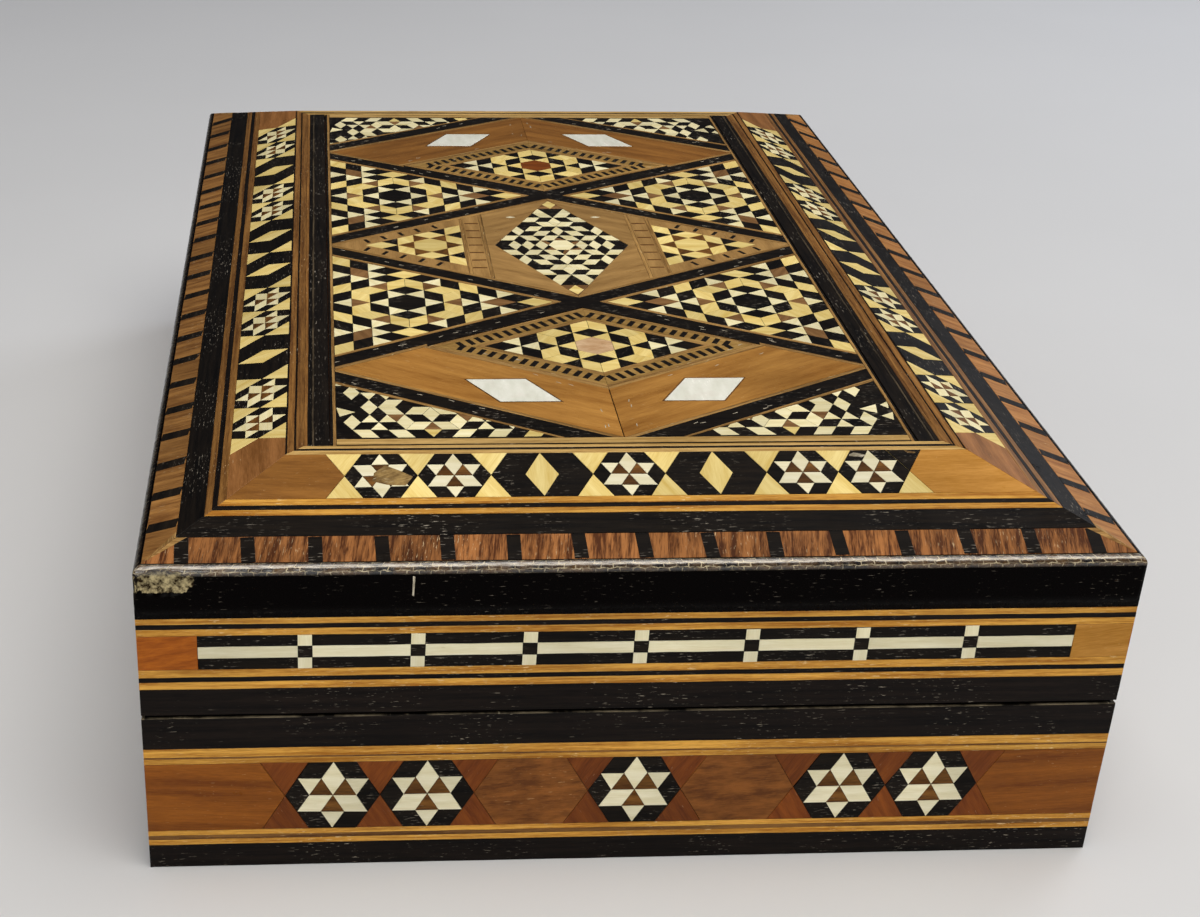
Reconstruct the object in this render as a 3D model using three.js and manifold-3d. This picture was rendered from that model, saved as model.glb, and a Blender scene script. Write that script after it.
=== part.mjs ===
// A marquetry cigarette box with a lift-off lid, seen from its short end. Millimetres, +Z up.
// The origin is the middle of the underside; X runs across the box, Y along it, the front end is at -Y.
import * as THREE from "three";
import { mergeVertices } from "three/addons/utils/BufferGeometryUtils.js";
import Module from "manifold-3d";

// Driving sizes of the whole box
const WIDTH = 110;
const LENGTH = 163;
const SEAM_Z = 20.85;
const EDGE_Z = 39.8;
const TOP_Z = 45.2;
const BEVEL_INSET = 16.0;

// Walls, floor and the lip that the lid drops over
const WALL = 8;
const FLOOR = 5;
const LIP_INSET = 6.4;
const LIP_HEIGHT = 3;
const LID_WALL = 5.9;
const LID_CEILING_Z = 38;

// The inlaid skin and the clearance that every glued or resting joint keeps
const SKIN = 1.0;
const GAP = 0.3;
const CORE_INSET = SKIN + GAP;
const CORE_DROP = SKIN + 0.4;

// Heights where one strip of a side face gives way to the next
const BASE_STRIPS = { ebony_low: [0, 3.2], star_band: [3.2, 16.6], ebony_high: [16.6, SEAM_Z] };
const LID_STRIPS = { ebony_low: [SEAM_Z + GAP, 24.6], bone_band: [24.6, 33.7] };
const ROUND_INSET = 0.9;
const ROUND_DROP = 0.9;

// Insets where one strip of the sloping border gives way to the next
const BORDER_STRIPS = { blocks: [ROUND_INSET, 4.4], ebony: [4.4, 7.3], stars: [7.3, BEVEL_INSET] };

// The flat top: a stringing frame, two long ebony strips and a field of three lozenges in a row,
// parted by crossing lines whose width is twice LINE_HALF. All its angles are 60 or 120 degrees but one.
const ROOT2 = Math.sqrt(2);
const ROOT3 = Math.sqrt(3);
const STRING_INSET = 18.1;
const EBONY_INSET = 21.0;
const FIELD_X = 33.2;
const LINE_HALF = 1.85;
const LOZENGE_Y = FIELD_X / ROOT3;
const LINE_Y = (4 * LINE_HALF) / ROOT3;
const PITCH = 2 * LOZENGE_Y + LINE_Y;
const FIELD_Y = PITCH + LOZENGE_Y;
const ROPE_X = 21.4;
const FINE_X = 9.7;
const DASH_X = 10.8;
const PEARL_SIDE = 7.7;
const PEARL_X = 11.7;
const PEARL_Y = 49;

const WOODS = {
  walnut: { color: 0x6b4226, roughness: 0.55 },
  ebony: { color: 0x15110f, roughness: 0.3 },
  honey: { color: 0xa9692f, roughness: 0.35 },
  umber: { color: 0x7c5330, roughness: 0.38 },
  rosewood: { color: 0x7d4a2c, roughness: 0.35 },
  boxwood: { color: 0xd7bd74, roughness: 0.35 },
  bone: { color: 0xe0d7b4, roughness: 0.35 },
  pearl: { color: 0xdde1dc, roughness: 0.2 },
};

const wasm = await Module();
wasm.setup();

const box = new THREE.Group();

function material(wood) {
  return new THREE.MeshStandardMaterial({ ...WOODS[wood], metalness: 0 });
}

function addPiece(name, wood, geometry) {
  const mesh = new THREE.Mesh(geometry, material(wood));
  mesh.name = name;
  box.add(mesh);
}

// A geometry from corner points and from faces that list their corners anticlockwise, seen from outside.
function facetedGeometry(points, faces) {
  const geometry = new THREE.BufferGeometry();
  geometry.setAttribute("position", new THREE.Float32BufferAttribute(points.flat(), 3));
  geometry.setIndex(faces.flatMap((face) => fan(face)));
  return geometry;
}

function fan(face) {
  const triangles = [];
  for (let i = 1; i + 1 < face.length; i++) triangles.push(face[0], face[i], face[i + 1]);
  return triangles;
}

function toSolid(geometry) {
  const bare = geometry.clone();
  bare.deleteAttribute("normal");
  bare.deleteAttribute("uv");
  const merged = mergeVertices(bare, 1e-4);
  const vertProperties = merged.getAttribute("position").array;
  const triVerts = new Uint32Array(merged.index.array);
  return new wasm.Manifold(new wasm.Mesh({ numProp: 3, vertProperties, triVerts }));
}

function fromSolid(solid) {
  const mesh = solid.getMesh();
  const geometry = new THREE.BufferGeometry();
  geometry.setAttribute("position", new THREE.BufferAttribute(mesh.vertProperties, 3));
  geometry.setIndex(new THREE.BufferAttribute(mesh.triVerts, 1));
  return geometry;
}

// The rectangle at a given inset from the outer faces, anticlockwise from above.
function rectangle(inset, z) {
  const x = WIDTH / 2 - inset;
  const y = LENGTH / 2 - inset;
  return [[-x, -y, z], [x, -y, z], [x, y, z], [-x, y, z]];
}

// A closed block whose outline is a rectangle at each level, from the lowest level up.
function loft(levels) {
  const points = levels.flatMap(([inset, z]) => rectangle(inset, z));
  const faces = [[3, 2, 1, 0]];
  for (let level = 0; level + 1 < levels.length; level++) {
    for (let side = 0; side < 4; side++) {
      const low = 4 * level;
      const next = (side + 1) % 4;
      faces.push([low + side, low + next, low + 4 + next, low + 4 + side]);
    }
  }
  const top = 4 * (levels.length - 1);
  faces.push([top, top + 1, top + 2, top + 3]);
  return toSolid(facetedGeometry(points, faces));
}

const SIDES = {
  front: { turn: 0, reach: WIDTH / 2, away: LENGTH / 2 },
  right: { turn: 1, reach: LENGTH / 2, away: WIDTH / 2 },
  back: { turn: 2, reach: WIDTH / 2, away: LENGTH / 2 },
  left: { turn: 3, reach: LENGTH / 2, away: WIDTH / 2 },
};

// A strip along one side with mitred ends. Its section lists [inset, z] corners, from the outer lower one
// inwards and round.
function mitredStrip(side, section) {
  const { turn, reach, away } = SIDES[side];
  const trim = GAP / ROOT2;
  const corner = (end) => ([inset, z]) => turned(end * (reach - inset - trim), inset - away, z, turn);
  const points = [...section.map(corner(-1)), ...section.map(corner(1))];
  const count = section.length;
  const keys = [...section.keys()];
  const faces = [[...keys].reverse(), keys.map((i) => count + i)];
  for (const i of keys) {
    const next = (i + 1) % count;
    faces.push([i, next, count + next, count + i]);
  }
  return facetedGeometry(points, faces);
}

// The same section carried round all four sides in one piece
function mitredRing(section) {
  const points = section.flatMap(([inset, z]) => rectangle(inset, z));
  const faces = [];
  for (const i of section.keys()) {
    const next = (i + 1) % section.length;
    for (let side = 0; side < 4; side++) {
      const after = (side + 1) % 4;
      faces.push([4 * i + side, 4 * next + side, 4 * next + after, 4 * i + after]);
    }
  }
  return facetedGeometry(points, faces);
}

// A point turned by quarter turns about the vertical axis.
function turned(x, y, z, quarters) {
  for (let i = 0; i < quarters; i++) [x, y] = [-y, x];
  return [x, y, z];
}

function uprightSection([low, high]) {
  const lowest = low === 0 ? 0 : low + GAP / 2;
  return [[0, lowest], [SKIN, lowest], [SKIN, high - GAP / 2], [0, high - GAP / 2]];
}

// The sloping border's height at an inset
function borderZ(inset) {
  return EDGE_Z + ((TOP_Z - EDGE_Z) * inset) / BEVEL_INSET;
}

function slopedSection([outer, inner]) {
  const from = outer + GAP / 2;
  const to = inner - GAP / 2;
  return [[from, borderZ(from) - SKIN], [to, borderZ(to) - SKIN], [to, borderZ(to)], [from, borderZ(from)]];
}

// The uppermost ebony of a side face, worn round where the side meets the slope
function wornSection(low) {
  const inner = ROUND_INSET - GAP / 2;
  const worn = [inner * 0.3, EDGE_Z - ROUND_DROP * 0.2];
  return [[0, low + GAP / 2], [inner, low + GAP / 2], [inner, borderZ(inner)], worn, [0, EDGE_Z - ROUND_DROP]];
}

function flatSection([outer, inner]) {
  const from = outer + GAP / 2;
  const to = inner - GAP / 2;
  return [[from, TOP_Z - SKIN], [to, TOP_Z - SKIN], [to, TOP_Z], [from, TOP_Z]];
}

function prism(outline, low, high) {
  const shape = new THREE.Shape(outline.map(([x, y]) => new THREE.Vector2(x, y)));
  const geometry = new THREE.ExtrudeGeometry(shape, { depth: high - low, bevelEnabled: false });
  return geometry.translate(0, 0, low);
}

// A plate set in the flat top, from its anticlockwise outline, with half a joint taken off every edge
function plate(outline) {
  return prism(shrunk(outline, GAP / 2), TOP_Z - SKIN, TOP_Z);
}

// What has to be cut from a neighbour to leave the joint round a plate
function pocket(outline) {
  return toSolid(prism(shrunk(outline, -GAP / 2), TOP_Z - 2 * SKIN, TOP_Z + SKIN));
}

// An outline with every edge moved inwards by the same amount
function shrunk(outline, amount) {
  const count = outline.length;
  return outline.map((corner, i) => {
    const before = outline[(i + count - 1) % count];
    const after = outline[(i + 1) % count];
    return crossing(movedIn(before, corner, amount), movedIn(corner, after, amount));
  });
}

function movedIn([ax, ay], [bx, by], amount) {
  const length = Math.hypot(bx - ax, by - ay);
  const nx = (-(by - ay) / length) * amount;
  const ny = ((bx - ax) / length) * amount;
  return { x: ax + nx, y: ay + ny, dx: (bx - ax) / length, dy: (by - ay) / length };
}

function crossing(a, b) {
  const along = ((b.x - a.x) * b.dy - (b.y - a.y) * b.dx) / (a.dx * b.dy - a.dy * b.dx);
  return [a.x + a.dx * along, a.y + a.dy * along];
}

// An outline mirrored across Y where mx is -1, across X where my is -1, and still anticlockwise
function mirrored(outline, mx, my) {
  const moved = outline.map(([x, y]) => [x * mx, y * my]);
  return mx * my < 0 ? moved.reverse() : moved;
}

function lozenge(centreY, halfX, halfY) {
  return [[-halfX, centreY], [0, centreY - halfY], [halfX, centreY], [0, centreY + halfY]];
}

// The equilateral mosaic triangle on the right, between the middle lozenge and the one behind it
function sideTriangle() {
  return [[2 * LINE_HALF, PITCH / 2], [FIELD_X, LINE_Y], [FIELD_X, PITCH - LINE_Y]];
}

// The corner triangle at the back on the right
function cornerTriangle() {
  const tipX = ROOT3 * LINE_Y;
  return [[tipX, FIELD_Y], [FIELD_X, PITCH + LINE_Y], [FIELD_X, FIELD_Y]];
}

// The back lozenge without the rope-edged lozenge in its nearer point
function chevron() {
  const ropeY = ROPE_X / ROOT3;
  const near = PITCH - LOZENGE_Y;
  return [
    [-ROPE_X, near + ropeY],
    [0, near + 2 * ropeY],
    [ROPE_X, near + ropeY],
    [FIELD_X, PITCH],
    [0, FIELD_Y],
    [-FIELD_X, PITCH],
  ];
}

// The right half of the middle lozenge, out to its dashed line and round the fine mosaic
function middleField() {
  const dashY = (FIELD_X - DASH_X) / ROOT3;
  return [[0, -LOZENGE_Y], [DASH_X, -dashY], [DASH_X, dashY], [0, LOZENGE_Y], [FINE_X, 0]];
}

function middleTriangle() {
  const dashY = (FIELD_X - DASH_X) / ROOT3;
  return [[DASH_X, -dashY], [FIELD_X, 0], [DASH_X, dashY]];
}

// The rhombus of mother-of-pearl in the right arm of the back chevron
function pearl() {
  const rise = (PEARL_SIDE * ROOT3) / 4;
  const lean = PEARL_SIDE / 4;
  const half = PEARL_SIDE / 2;
  return [
    [PEARL_X + lean - half, PEARL_Y - rise],
    [PEARL_X + lean + half, PEARL_Y - rise],
    [PEARL_X - lean + half, PEARL_Y + rise],
    [PEARL_X - lean - half, PEARL_Y + rise],
  ];
}

function addBase() {
  const outer = loft([[CORE_INSET, 0], [CORE_INSET, SEAM_Z - GAP / 2]]);
  const lip = loft([[LIP_INSET, FLOOR], [LIP_INSET, SEAM_Z + LIP_HEIGHT]]);
  const room = loft([[WALL, FLOOR], [WALL, 2 * SEAM_Z]]);
  addPiece("base_carcass", "walnut", fromSolid(outer.add(lip).subtract(room)));
  for (const side of Object.keys(SIDES)) {
    addPiece(`base_${side}_ebony_low`, "ebony", mitredStrip(side, uprightSection(BASE_STRIPS.ebony_low)));
    addPiece(`base_${side}_star_band`, "honey", mitredStrip(side, uprightSection(BASE_STRIPS.star_band)));
    addPiece(`base_${side}_ebony_high`, "ebony", mitredStrip(side, uprightSection(BASE_STRIPS.ebony_high)));
  }
}

function addLid() {
  const outer = loft([
    [CORE_INSET, SEAM_Z + GAP / 2],
    [CORE_INSET, borderZ(CORE_INSET) - CORE_DROP],
    [BEVEL_INSET + GAP / 2, TOP_Z - CORE_DROP],
  ]);
  const room = loft([[LID_WALL, 0], [LID_WALL, LID_CEILING_Z]]);
  addPiece("lid_carcass", "walnut", fromSolid(outer.subtract(room)));
  for (const side of Object.keys(SIDES)) {
    addPiece(`lid_${side}_ebony_low`, "ebony", mitredStrip(side, uprightSection(LID_STRIPS.ebony_low)));
    addPiece(`lid_${side}_bone_band`, "bone", mitredStrip(side, uprightSection(LID_STRIPS.bone_band)));
    addPiece(`lid_${side}_ebony_edge`, "ebony", mitredStrip(side, wornSection(LID_STRIPS.bone_band[1])));
  }
}

function addBorder() {
  for (const side of Object.keys(SIDES)) {
    addPiece(`border_${side}_blocks`, "rosewood", mitredStrip(side, slopedSection(BORDER_STRIPS.blocks)));
    addPiece(`border_${side}_stars`, "boxwood", mitredStrip(side, slopedSection(BORDER_STRIPS.stars)));
  }
  addPiece("border_ebony_frame", "ebony", mitredRing(slopedSection(BORDER_STRIPS.ebony)));
  addPiece("field_string_frame", "boxwood", mitredRing(flatSection([BEVEL_INSET, STRING_INSET])));
}

const ENDS = { front: -1, back: 1 };
const HANDS = { left: -1, right: 1 };

// Every plate of the field: its name, wood and outline
function fieldPlates() {
  const plates = [["middle_fine_mosaic", "bone", lozenge(0, FINE_X, LOZENGE_Y)]];
  for (const [hand, mx] of Object.entries(HANDS)) {
    plates.push([`middle_${hand}_field`, "umber", mirrored(middleField(), mx, 1)]);
    plates.push([`middle_${hand}_triangle`, "umber", mirrored(middleTriangle(), mx, 1)]);
  }
  for (const [end, my] of Object.entries(ENDS)) {
    const ropeY = ROPE_X / ROOT3;
    const rope = lozenge(PITCH - LOZENGE_Y + ropeY, ROPE_X, ropeY);
    plates.push([`${end}_chevron`, "honey", mirrored(chevron(), 1, my)]);
    plates.push([`${end}_rope_lozenge`, "boxwood", mirrored(rope, 1, my)]);
    for (const [hand, mx] of Object.entries(HANDS)) {
      plates.push([`${end}_${hand}_side_mosaic`, "boxwood", mirrored(sideTriangle(), mx, my)]);
      plates.push([`${end}_${hand}_corner_mosaic`, "bone", mirrored(cornerTriangle(), mx, my)]);
    }
  }
  return plates;
}

// The plates, with the pearls let into the chevrons, and the net of lines that runs between them all
function addField() {
  const plates = fieldPlates();
  for (const [name, wood, outline] of plates) {
    const chevronEnd = name.endsWith("_chevron") && name.replace("_chevron", "");
    addPiece(name, wood, chevronEnd ? fromSolid(withPearls(outline, chevronEnd)) : plate(outline));
  }
  const x = WIDTH / 2 - EBONY_INSET;
  const y = LENGTH / 2 - STRING_INSET;
  const whole = toSolid(plate([[-x, -y], [x, -y], [x, y], [-x, y]]));
  const net = plates.reduce((left, [, , outline]) => left.subtract(pocket(outline)), whole);
  addPiece("field_lines", "ebony", fromSolid(net));
  const far = WIDTH / 2 - STRING_INSET;
  for (const [hand, mx] of Object.entries(HANDS)) {
    const strip = [[x, -y], [far, -y], [far, y], [x, y]];
    addPiece(`field_${hand}_ebony`, "ebony", plate(mirrored(strip, mx, 1)));
  }
}

// A chevron with its two pockets, and the pearls that lie in them
function withPearls(outline, end) {
  let solid = toSolid(plate(outline));
  for (const [hand, mx] of Object.entries(HANDS)) {
    const shell = mirrored(pearl(), mx, ENDS[end]);
    solid = solid.subtract(pocket(shell));
    addPiece(`${end}_${hand}_pearl`, "pearl", plate(shell));
  }
  return solid;
}

addBase();
addLid();
addBorder();
addField();

export default box;
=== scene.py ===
"""An inlaid cigarette box: veneer, mosaic and strings laid over the frame of the box, in a plain studio."""

import logging
import math
import random
from dataclasses import dataclass
from enum import Enum, IntEnum
from functools import partial
from typing import Any, Callable, Iterable, Iterator, Sequence

import bmesh
import bpy
from mathutils import Matrix, Vector, noise


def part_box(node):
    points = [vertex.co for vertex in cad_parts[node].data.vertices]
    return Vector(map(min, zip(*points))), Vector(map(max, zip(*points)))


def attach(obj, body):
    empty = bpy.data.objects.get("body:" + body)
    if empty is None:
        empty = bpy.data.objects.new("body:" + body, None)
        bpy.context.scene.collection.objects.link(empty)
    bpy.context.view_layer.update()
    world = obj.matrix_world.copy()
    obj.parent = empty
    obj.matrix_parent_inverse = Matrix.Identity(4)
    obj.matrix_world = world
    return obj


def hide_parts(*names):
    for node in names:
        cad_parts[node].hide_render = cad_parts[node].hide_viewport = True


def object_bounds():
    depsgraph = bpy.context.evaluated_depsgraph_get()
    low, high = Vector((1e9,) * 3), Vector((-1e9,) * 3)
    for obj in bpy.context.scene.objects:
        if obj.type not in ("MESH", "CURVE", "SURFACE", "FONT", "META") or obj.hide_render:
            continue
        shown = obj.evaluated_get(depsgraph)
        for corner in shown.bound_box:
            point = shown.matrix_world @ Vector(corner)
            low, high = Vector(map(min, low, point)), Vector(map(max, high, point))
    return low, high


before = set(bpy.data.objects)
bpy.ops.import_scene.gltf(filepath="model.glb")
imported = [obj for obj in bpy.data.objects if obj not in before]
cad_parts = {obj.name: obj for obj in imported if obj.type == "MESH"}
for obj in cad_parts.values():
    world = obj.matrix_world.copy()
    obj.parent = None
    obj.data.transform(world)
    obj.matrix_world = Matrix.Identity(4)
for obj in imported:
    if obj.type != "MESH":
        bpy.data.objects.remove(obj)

log = logging.getLogger("cigarette_box")
cad_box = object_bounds()

Point = tuple[float, float]
Triple = tuple[float, float, float]
Outline = list[Point]

MM = 0.001
ROOT3 = math.sqrt(3.0)
BODY = "root"
GRAIN_MAP = "grain"
TONE = "tone"
VENEER = "veneer_"

# Half the gap between two solids of the frame, and the joints and depths of the veneer, in millimetres.
HALF_GAP = 0.15
GLUE_LINE = 0.04
FINE_JOINT = 0.02
CHAMFER = 0.03
VENEER_DEPTH = 0.35
GROUND_SINK = 0.15
PROUD = 0.02
SMALLEST_AREA = 0.03
STRIP_STEP = 3.0
WAVER = 0.05
STEADY_WAVER = 0.04
FINE_WAVER = 0.03


class Seed(IntEnum):
    """The seed of the hand-cut edges, and the first seed of each kind of layer."""

    STRAY = 5
    BASE_EBONY = 20
    BASE_STARS = 40
    LID_EBONY = 60
    BONE_BAND = 70
    RIM = 90
    BORDER_FRAME = 110
    BLOCKS = 120
    BORDER_STARS = 140
    STRING_FRAME = 160
    FIELD_EBONY = 170
    NET = 180
    CHEVRON = 190
    SHELL = 200
    ROPE = 210
    SIDE_MOSAIC = 220
    CORNER_MOSAIC = 240
    FINE_MOSAIC = 260
    MIDDLE_FIELD = 270
    MIDDLE_TRIANGLE = 280
    FLECK_PLACES = 31
    FLECKS = 32
    LADDER = 5


class Side(Enum):
    """The four sides of the box, with the quarter turns that bring the front round to each."""

    FRONT = 0
    RIGHT = 1
    BACK = 2
    LEFT = 3

    @property
    def word(self) -> str:
        """The side's name as the frame's nodes spell it."""
        return self.name.lower()

    @property
    def is_short(self) -> bool:
        """Whether the side is one of the two short ends."""
        return self in (Side.FRONT, Side.BACK)

    def turn(self, vector: Vector) -> Vector:
        """The vector of the front side, turned round to this one."""
        return Matrix.Rotation(self.value * math.pi / 2, 3, "Z") @ vector


def srgb(code: int) -> tuple[float, float, float, float]:
    """Turn a colour as a maker reads it off a chart into linear light.

    Args:
        code: The colour as 0xRRGGBB.

    Returns:
        Red, green, blue and an opacity of one.
    """
    channels = [((code >> shift) & 255) / 255 for shift in (16, 8, 0)]
    linear = [c / 12.92 if c <= 0.04045 else ((c + 0.055) / 1.055) ** 2.4 for c in channels]
    return (linear[0], linear[1], linear[2], 1.0)


def edges(outline: Sequence[Point]) -> Iterator[tuple[Point, Point]]:
    """Yield each edge of an outline as its two corners."""
    for index, corner in enumerate(outline):
        yield corner, outline[(index + 1) % len(outline)]


def area(outline: Sequence[Point]) -> float:
    """The signed area of an outline, positive where it runs anticlockwise."""
    return sum(a[0] * b[1] - a[1] * b[0] for a, b in edges(outline)) / 2


def anticlockwise(outline: Sequence[Point]) -> Outline:
    """The outline, turned round if it ran clockwise."""
    return list(outline) if area(outline) > 0 else list(reversed(outline))


def middle(outline: Sequence[Point]) -> Point:
    """The mean of an outline's corners."""
    return (sum(p[0] for p in outline) / len(outline), sum(p[1] for p in outline) / len(outline))


def rectangle(left: float, right: float, low: float, high: float) -> Outline:
    """An upright rectangle between two lefts and rights."""
    return [(left, low), (right, low), (right, high), (left, high)]


def bar(width: float, height: float) -> Outline:
    """An upright bar about the zero point."""
    return rectangle(-width / 2, width / 2, -height / 2, height / 2)


def rhombus(centre: Point, half_u: float, half_v: float) -> Outline:
    """A rhombus that stands on its point."""
    u, v = centre
    return [(u - half_u, v), (u, v - half_v), (u + half_u, v), (u, v + half_v)]


def mirrored(outline: Sequence[Point], along: float = 1.0, across: float = 1.0) -> Outline:
    """The outline with its coordinates multiplied by plus or minus one, and anticlockwise."""
    return anticlockwise([(u * along, v * across) for u, v in outline])


def part_way(a: Point, b: Point, share: float) -> Point:
    """The place at a share of the way from one point to another."""
    return (a[0] + (b[0] - a[0]) * share, a[1] + (b[1] - a[1]) * share)


def cut(outline: Sequence[Point], start: Point, inward: Point) -> Outline:
    """Keep the part of a convex outline on the inner side of a straight line.

    Args:
        outline: The outline to be cut.
        start: A point on the line.
        inward: The direction square to the line, towards the part that stays.

    Returns:
        The part that stays, which may be empty.
    """
    depths = [(u - start[0]) * inward[0] + (v - start[1]) * inward[1] for u, v in outline]
    kept: Outline = []
    for (a, b), deep_a, deep_b in zip(edges(outline), depths, depths[1:] + depths[:1]):
        if deep_a >= 0:
            kept.append(a)
        if deep_a * deep_b < 0:
            kept.append(part_way(a, b, deep_a / (deep_a - deep_b)))
    return kept


def lean_of(a: Point, b: Point) -> float:
    """The direction from one point to another, in degrees."""
    return math.degrees(math.atan2(b[1] - a[1], b[0] - a[0]))


def inward_of(a: Point, b: Point) -> Point:
    """The unit direction into an anticlockwise outline from one of its edges."""
    length = math.dist(a, b) or 1.0
    return (-(b[1] - a[1]) / length, (b[0] - a[0]) / length)


def shrunk(outline: Sequence[Point], amount: float) -> Outline:
    """A convex outline with every edge moved inwards by the same amount."""
    result = list(outline)
    for a, b in edges(outline):
        if math.dist(a, b) < 1e-6 or not result:
            continue
        inward = inward_of(a, b)
        result = cut(result, (a[0] + inward[0] * amount, a[1] + inward[1] * amount), inward)
    return result


def clipped(outline: Sequence[Point], window: Sequence[Point]) -> Outline:
    """The part of a convex outline inside a convex window."""
    result = list(outline)
    for a, b in edges(window):
        if result:
            result = cut(result, a, inward_of(a, b))
    return result


def thinned(outline: Sequence[Point], least: float = 0.02) -> Outline:
    """The outline without corners that lie almost on one another."""
    kept: Outline = []
    for point in outline:
        if not kept or math.dist(point, kept[-1]) > least:
            kept.append(point)
    while len(kept) > 1 and math.dist(kept[0], kept[-1]) <= least:
        kept.pop()
    return kept


def grown(outline: Sequence[Point], amount: float) -> Outline:
    """A convex outline with its corners moved outwards, so that its edges move by the amount."""
    count = len(outline)
    result: Outline = []
    for index, corner in enumerate(outline):
        before = inward_of(outline[index - 1], corner)
        after = inward_of(corner, outline[(index + 1) % count])
        sum_u, sum_v = before[0] + after[0], before[1] + after[1]
        scale = amount / max(0.25, (sum_u ** 2 + sum_v ** 2) / 2)
        result.append((corner[0] - sum_u * scale, corner[1] - sum_v * scale))
    return result


@dataclass(frozen=True)
class Facet:
    """A flat face of the box, with millimetre axes of its own.

    Attributes:
        origin: The face's zero point, in the frame's millimetres.
        right: The direction of its first axis.
        up: The direction of its second axis.
    """

    origin: Vector
    right: Vector
    up: Vector

    @property
    def out(self) -> Vector:
        """The direction out of the wood."""
        return self.right.cross(self.up)

    @property
    def turn(self) -> Vector:
        """The turn that brings a flat pattern's axes onto this face, as Euler angles."""
        columns = Matrix((self.right, self.up, self.out)).transposed()
        return Vector(columns.to_euler())

    def place(self, u: float, v: float, lift: float = 0.0) -> Vector:
        """The point of the frame, in metres, for a place on the face."""
        return (self.origin + self.right * u + self.up * v + self.out * lift) * MM

    def read(self, point: Vector) -> tuple[float, float, float]:
        """The place on the face, and the lift from it, of a point of the frame in metres."""
        offset = point / MM - self.origin
        return offset.dot(self.right), offset.dot(self.up), offset.dot(self.out)


FLAT = Facet(Vector((0, 0, 0)), Vector((1, 0, 0)), Vector((0, 1, 0)))


class Bench:
    """A node tree that is wired up one node at a time."""

    def __init__(self, tree: bpy.types.NodeTree) -> None:
        """Start on a tree, which keeps the nodes that it has."""
        self.tree = tree

    def fill(self, socket: bpy.types.NodeSocket, value: Any) -> None:
        """Link another node's output to a socket, or set the socket to a value."""
        if isinstance(value, bpy.types.NodeSocket):
            self.tree.links.new(value, socket)
        else:
            socket.default_value = value

    def node(self, kind: str, inputs: dict[Any, Any] | None = None, **settings: Any) -> bpy.types.Node:
        """Add a node and fill its sockets.

        Args:
            kind: The node's Blender type.
            inputs: Values or other nodes' outputs, by the name or number of the socket.
            settings: Options of the node itself.

        Returns:
            The new node.
        """
        item = self.tree.nodes.new(kind)
        for key, value in settings.items():
            setattr(item, key, value)
        for key, value in (inputs or {}).items():
            self.fill(item.inputs[key], value)
        return item

    def maths(self, operation: str, first: Any, second: Any) -> bpy.types.NodeSocket:
        """The result of one sum on two numbers or outputs."""
        return self.node("ShaderNodeMath", {0: first, 1: second}, operation=operation).outputs[0]

    def times(self, first: Any, second: Any) -> bpy.types.NodeSocket:
        """Two numbers or outputs multiplied."""
        return self.maths("MULTIPLY", first, second)

    def plus(self, first: Any, second: Any) -> bpy.types.NodeSocket:
        """Two numbers or outputs added."""
        return self.maths("ADD", first, second)

    def multiple(self, vector: Any, factor: Any) -> bpy.types.NodeSocket:
        """A vector or a colour multiplied by one number."""
        return self.node("ShaderNodeVectorMath", {0: vector, "Scale": factor}, operation="SCALE").outputs[0]

    def mix(self, share: Any, first: Any, second: Any) -> bpy.types.NodeSocket:
        """The colour between two colours or outputs."""
        inputs = {"Factor": share, 6: first, 7: second}
        return self.node("ShaderNodeMix", inputs, data_type="RGBA").outputs[2]

    def between(self, value: Any, low: float, high: float, start: float = 0.0, end: float = 1.0) -> Any:
        """A number carried from one range to another, and held inside it."""
        inputs = {"Value": value, 1: low, 2: high, 3: start, 4: end}
        return self.node("ShaderNodeMapRange", inputs).outputs[0]

    def scaled(self, vector: Any, scale: Sequence[float]) -> bpy.types.NodeSocket:
        """A vector stretched by three factors."""
        return self.node("ShaderNodeMapping", {"Vector": vector, "Scale": tuple(scale)}).outputs[0]

    def noise(self, vector: Any, scale: float, detail: float = 3.0, rough: float = 0.55) -> Any:
        """A cloudy pattern of numbers about a half."""
        inputs = {"Vector": vector, "Scale": scale, "Detail": detail, "Roughness": rough}
        return self.node("ShaderNodeTexNoise", inputs).outputs["Fac"]

    def grain(self) -> bpy.types.NodeSocket:
        """The map that runs along the grain of each piece, in millimetres."""
        return self.node("ShaderNodeUVMap", uv_map=GRAIN_MAP).outputs[0]

    def place(self) -> bpy.types.NodeSocket:
        """The place on the whole box, in metres."""
        return self.node("ShaderNodeTexCoord").outputs["Object"]

    def carried(self, name: str) -> bpy.types.NodeSocket:
        """A number that the mesh carries under a name."""
        return self.node("ShaderNodeAttribute", attribute_name=name).outputs["Fac"]

    def up_part(self, vector: Any) -> bpy.types.NodeSocket:
        """The third number of a vector."""
        return self.node("ShaderNodeSeparateXYZ", {"Vector": vector}).outputs["Z"]

    def dust(self, grain: Any, place: Any, amount: float) -> Any:
        """Pale dust in short scratches along the grain, gathered in patches.

        Args:
            grain: The output that runs along the grain.
            place: The output that gives the place on the whole box.
            amount: How much of the surface it covers, from 0 to 1.

        Returns:
            The share of dust at each place.
        """
        scratch = self.noise(self.scaled(grain, (0.8, 5.5, 1)), 1.0, 3.0, 0.6)
        patch = self.between(self.noise(place, 150.0, 2.0), 0.42, 0.66)
        fine = self.between(scratch, 0.69 - 0.2 * amount, 0.755 - 0.18 * amount)
        return self.times(self.times(fine, patch), min(1.0, 0.5 + amount))

    def bump(self, height: Any, strength: float, depth: float) -> bpy.types.NodeSocket:
        """The surface's direction over a fine relief, whose depth is in millimetres."""
        inputs = {"Height": height, "Strength": strength, "Distance": depth * MM}
        return self.node("ShaderNodeBump", inputs).outputs[0]

    def dress(self, sockets: dict[str, Any]) -> None:
        """Fill sockets of the material's own shader, by their names."""
        shader = self.tree.nodes["Principled BSDF"]
        for name, value in sockets.items():
            self.fill(shader.inputs[name], value)


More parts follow.
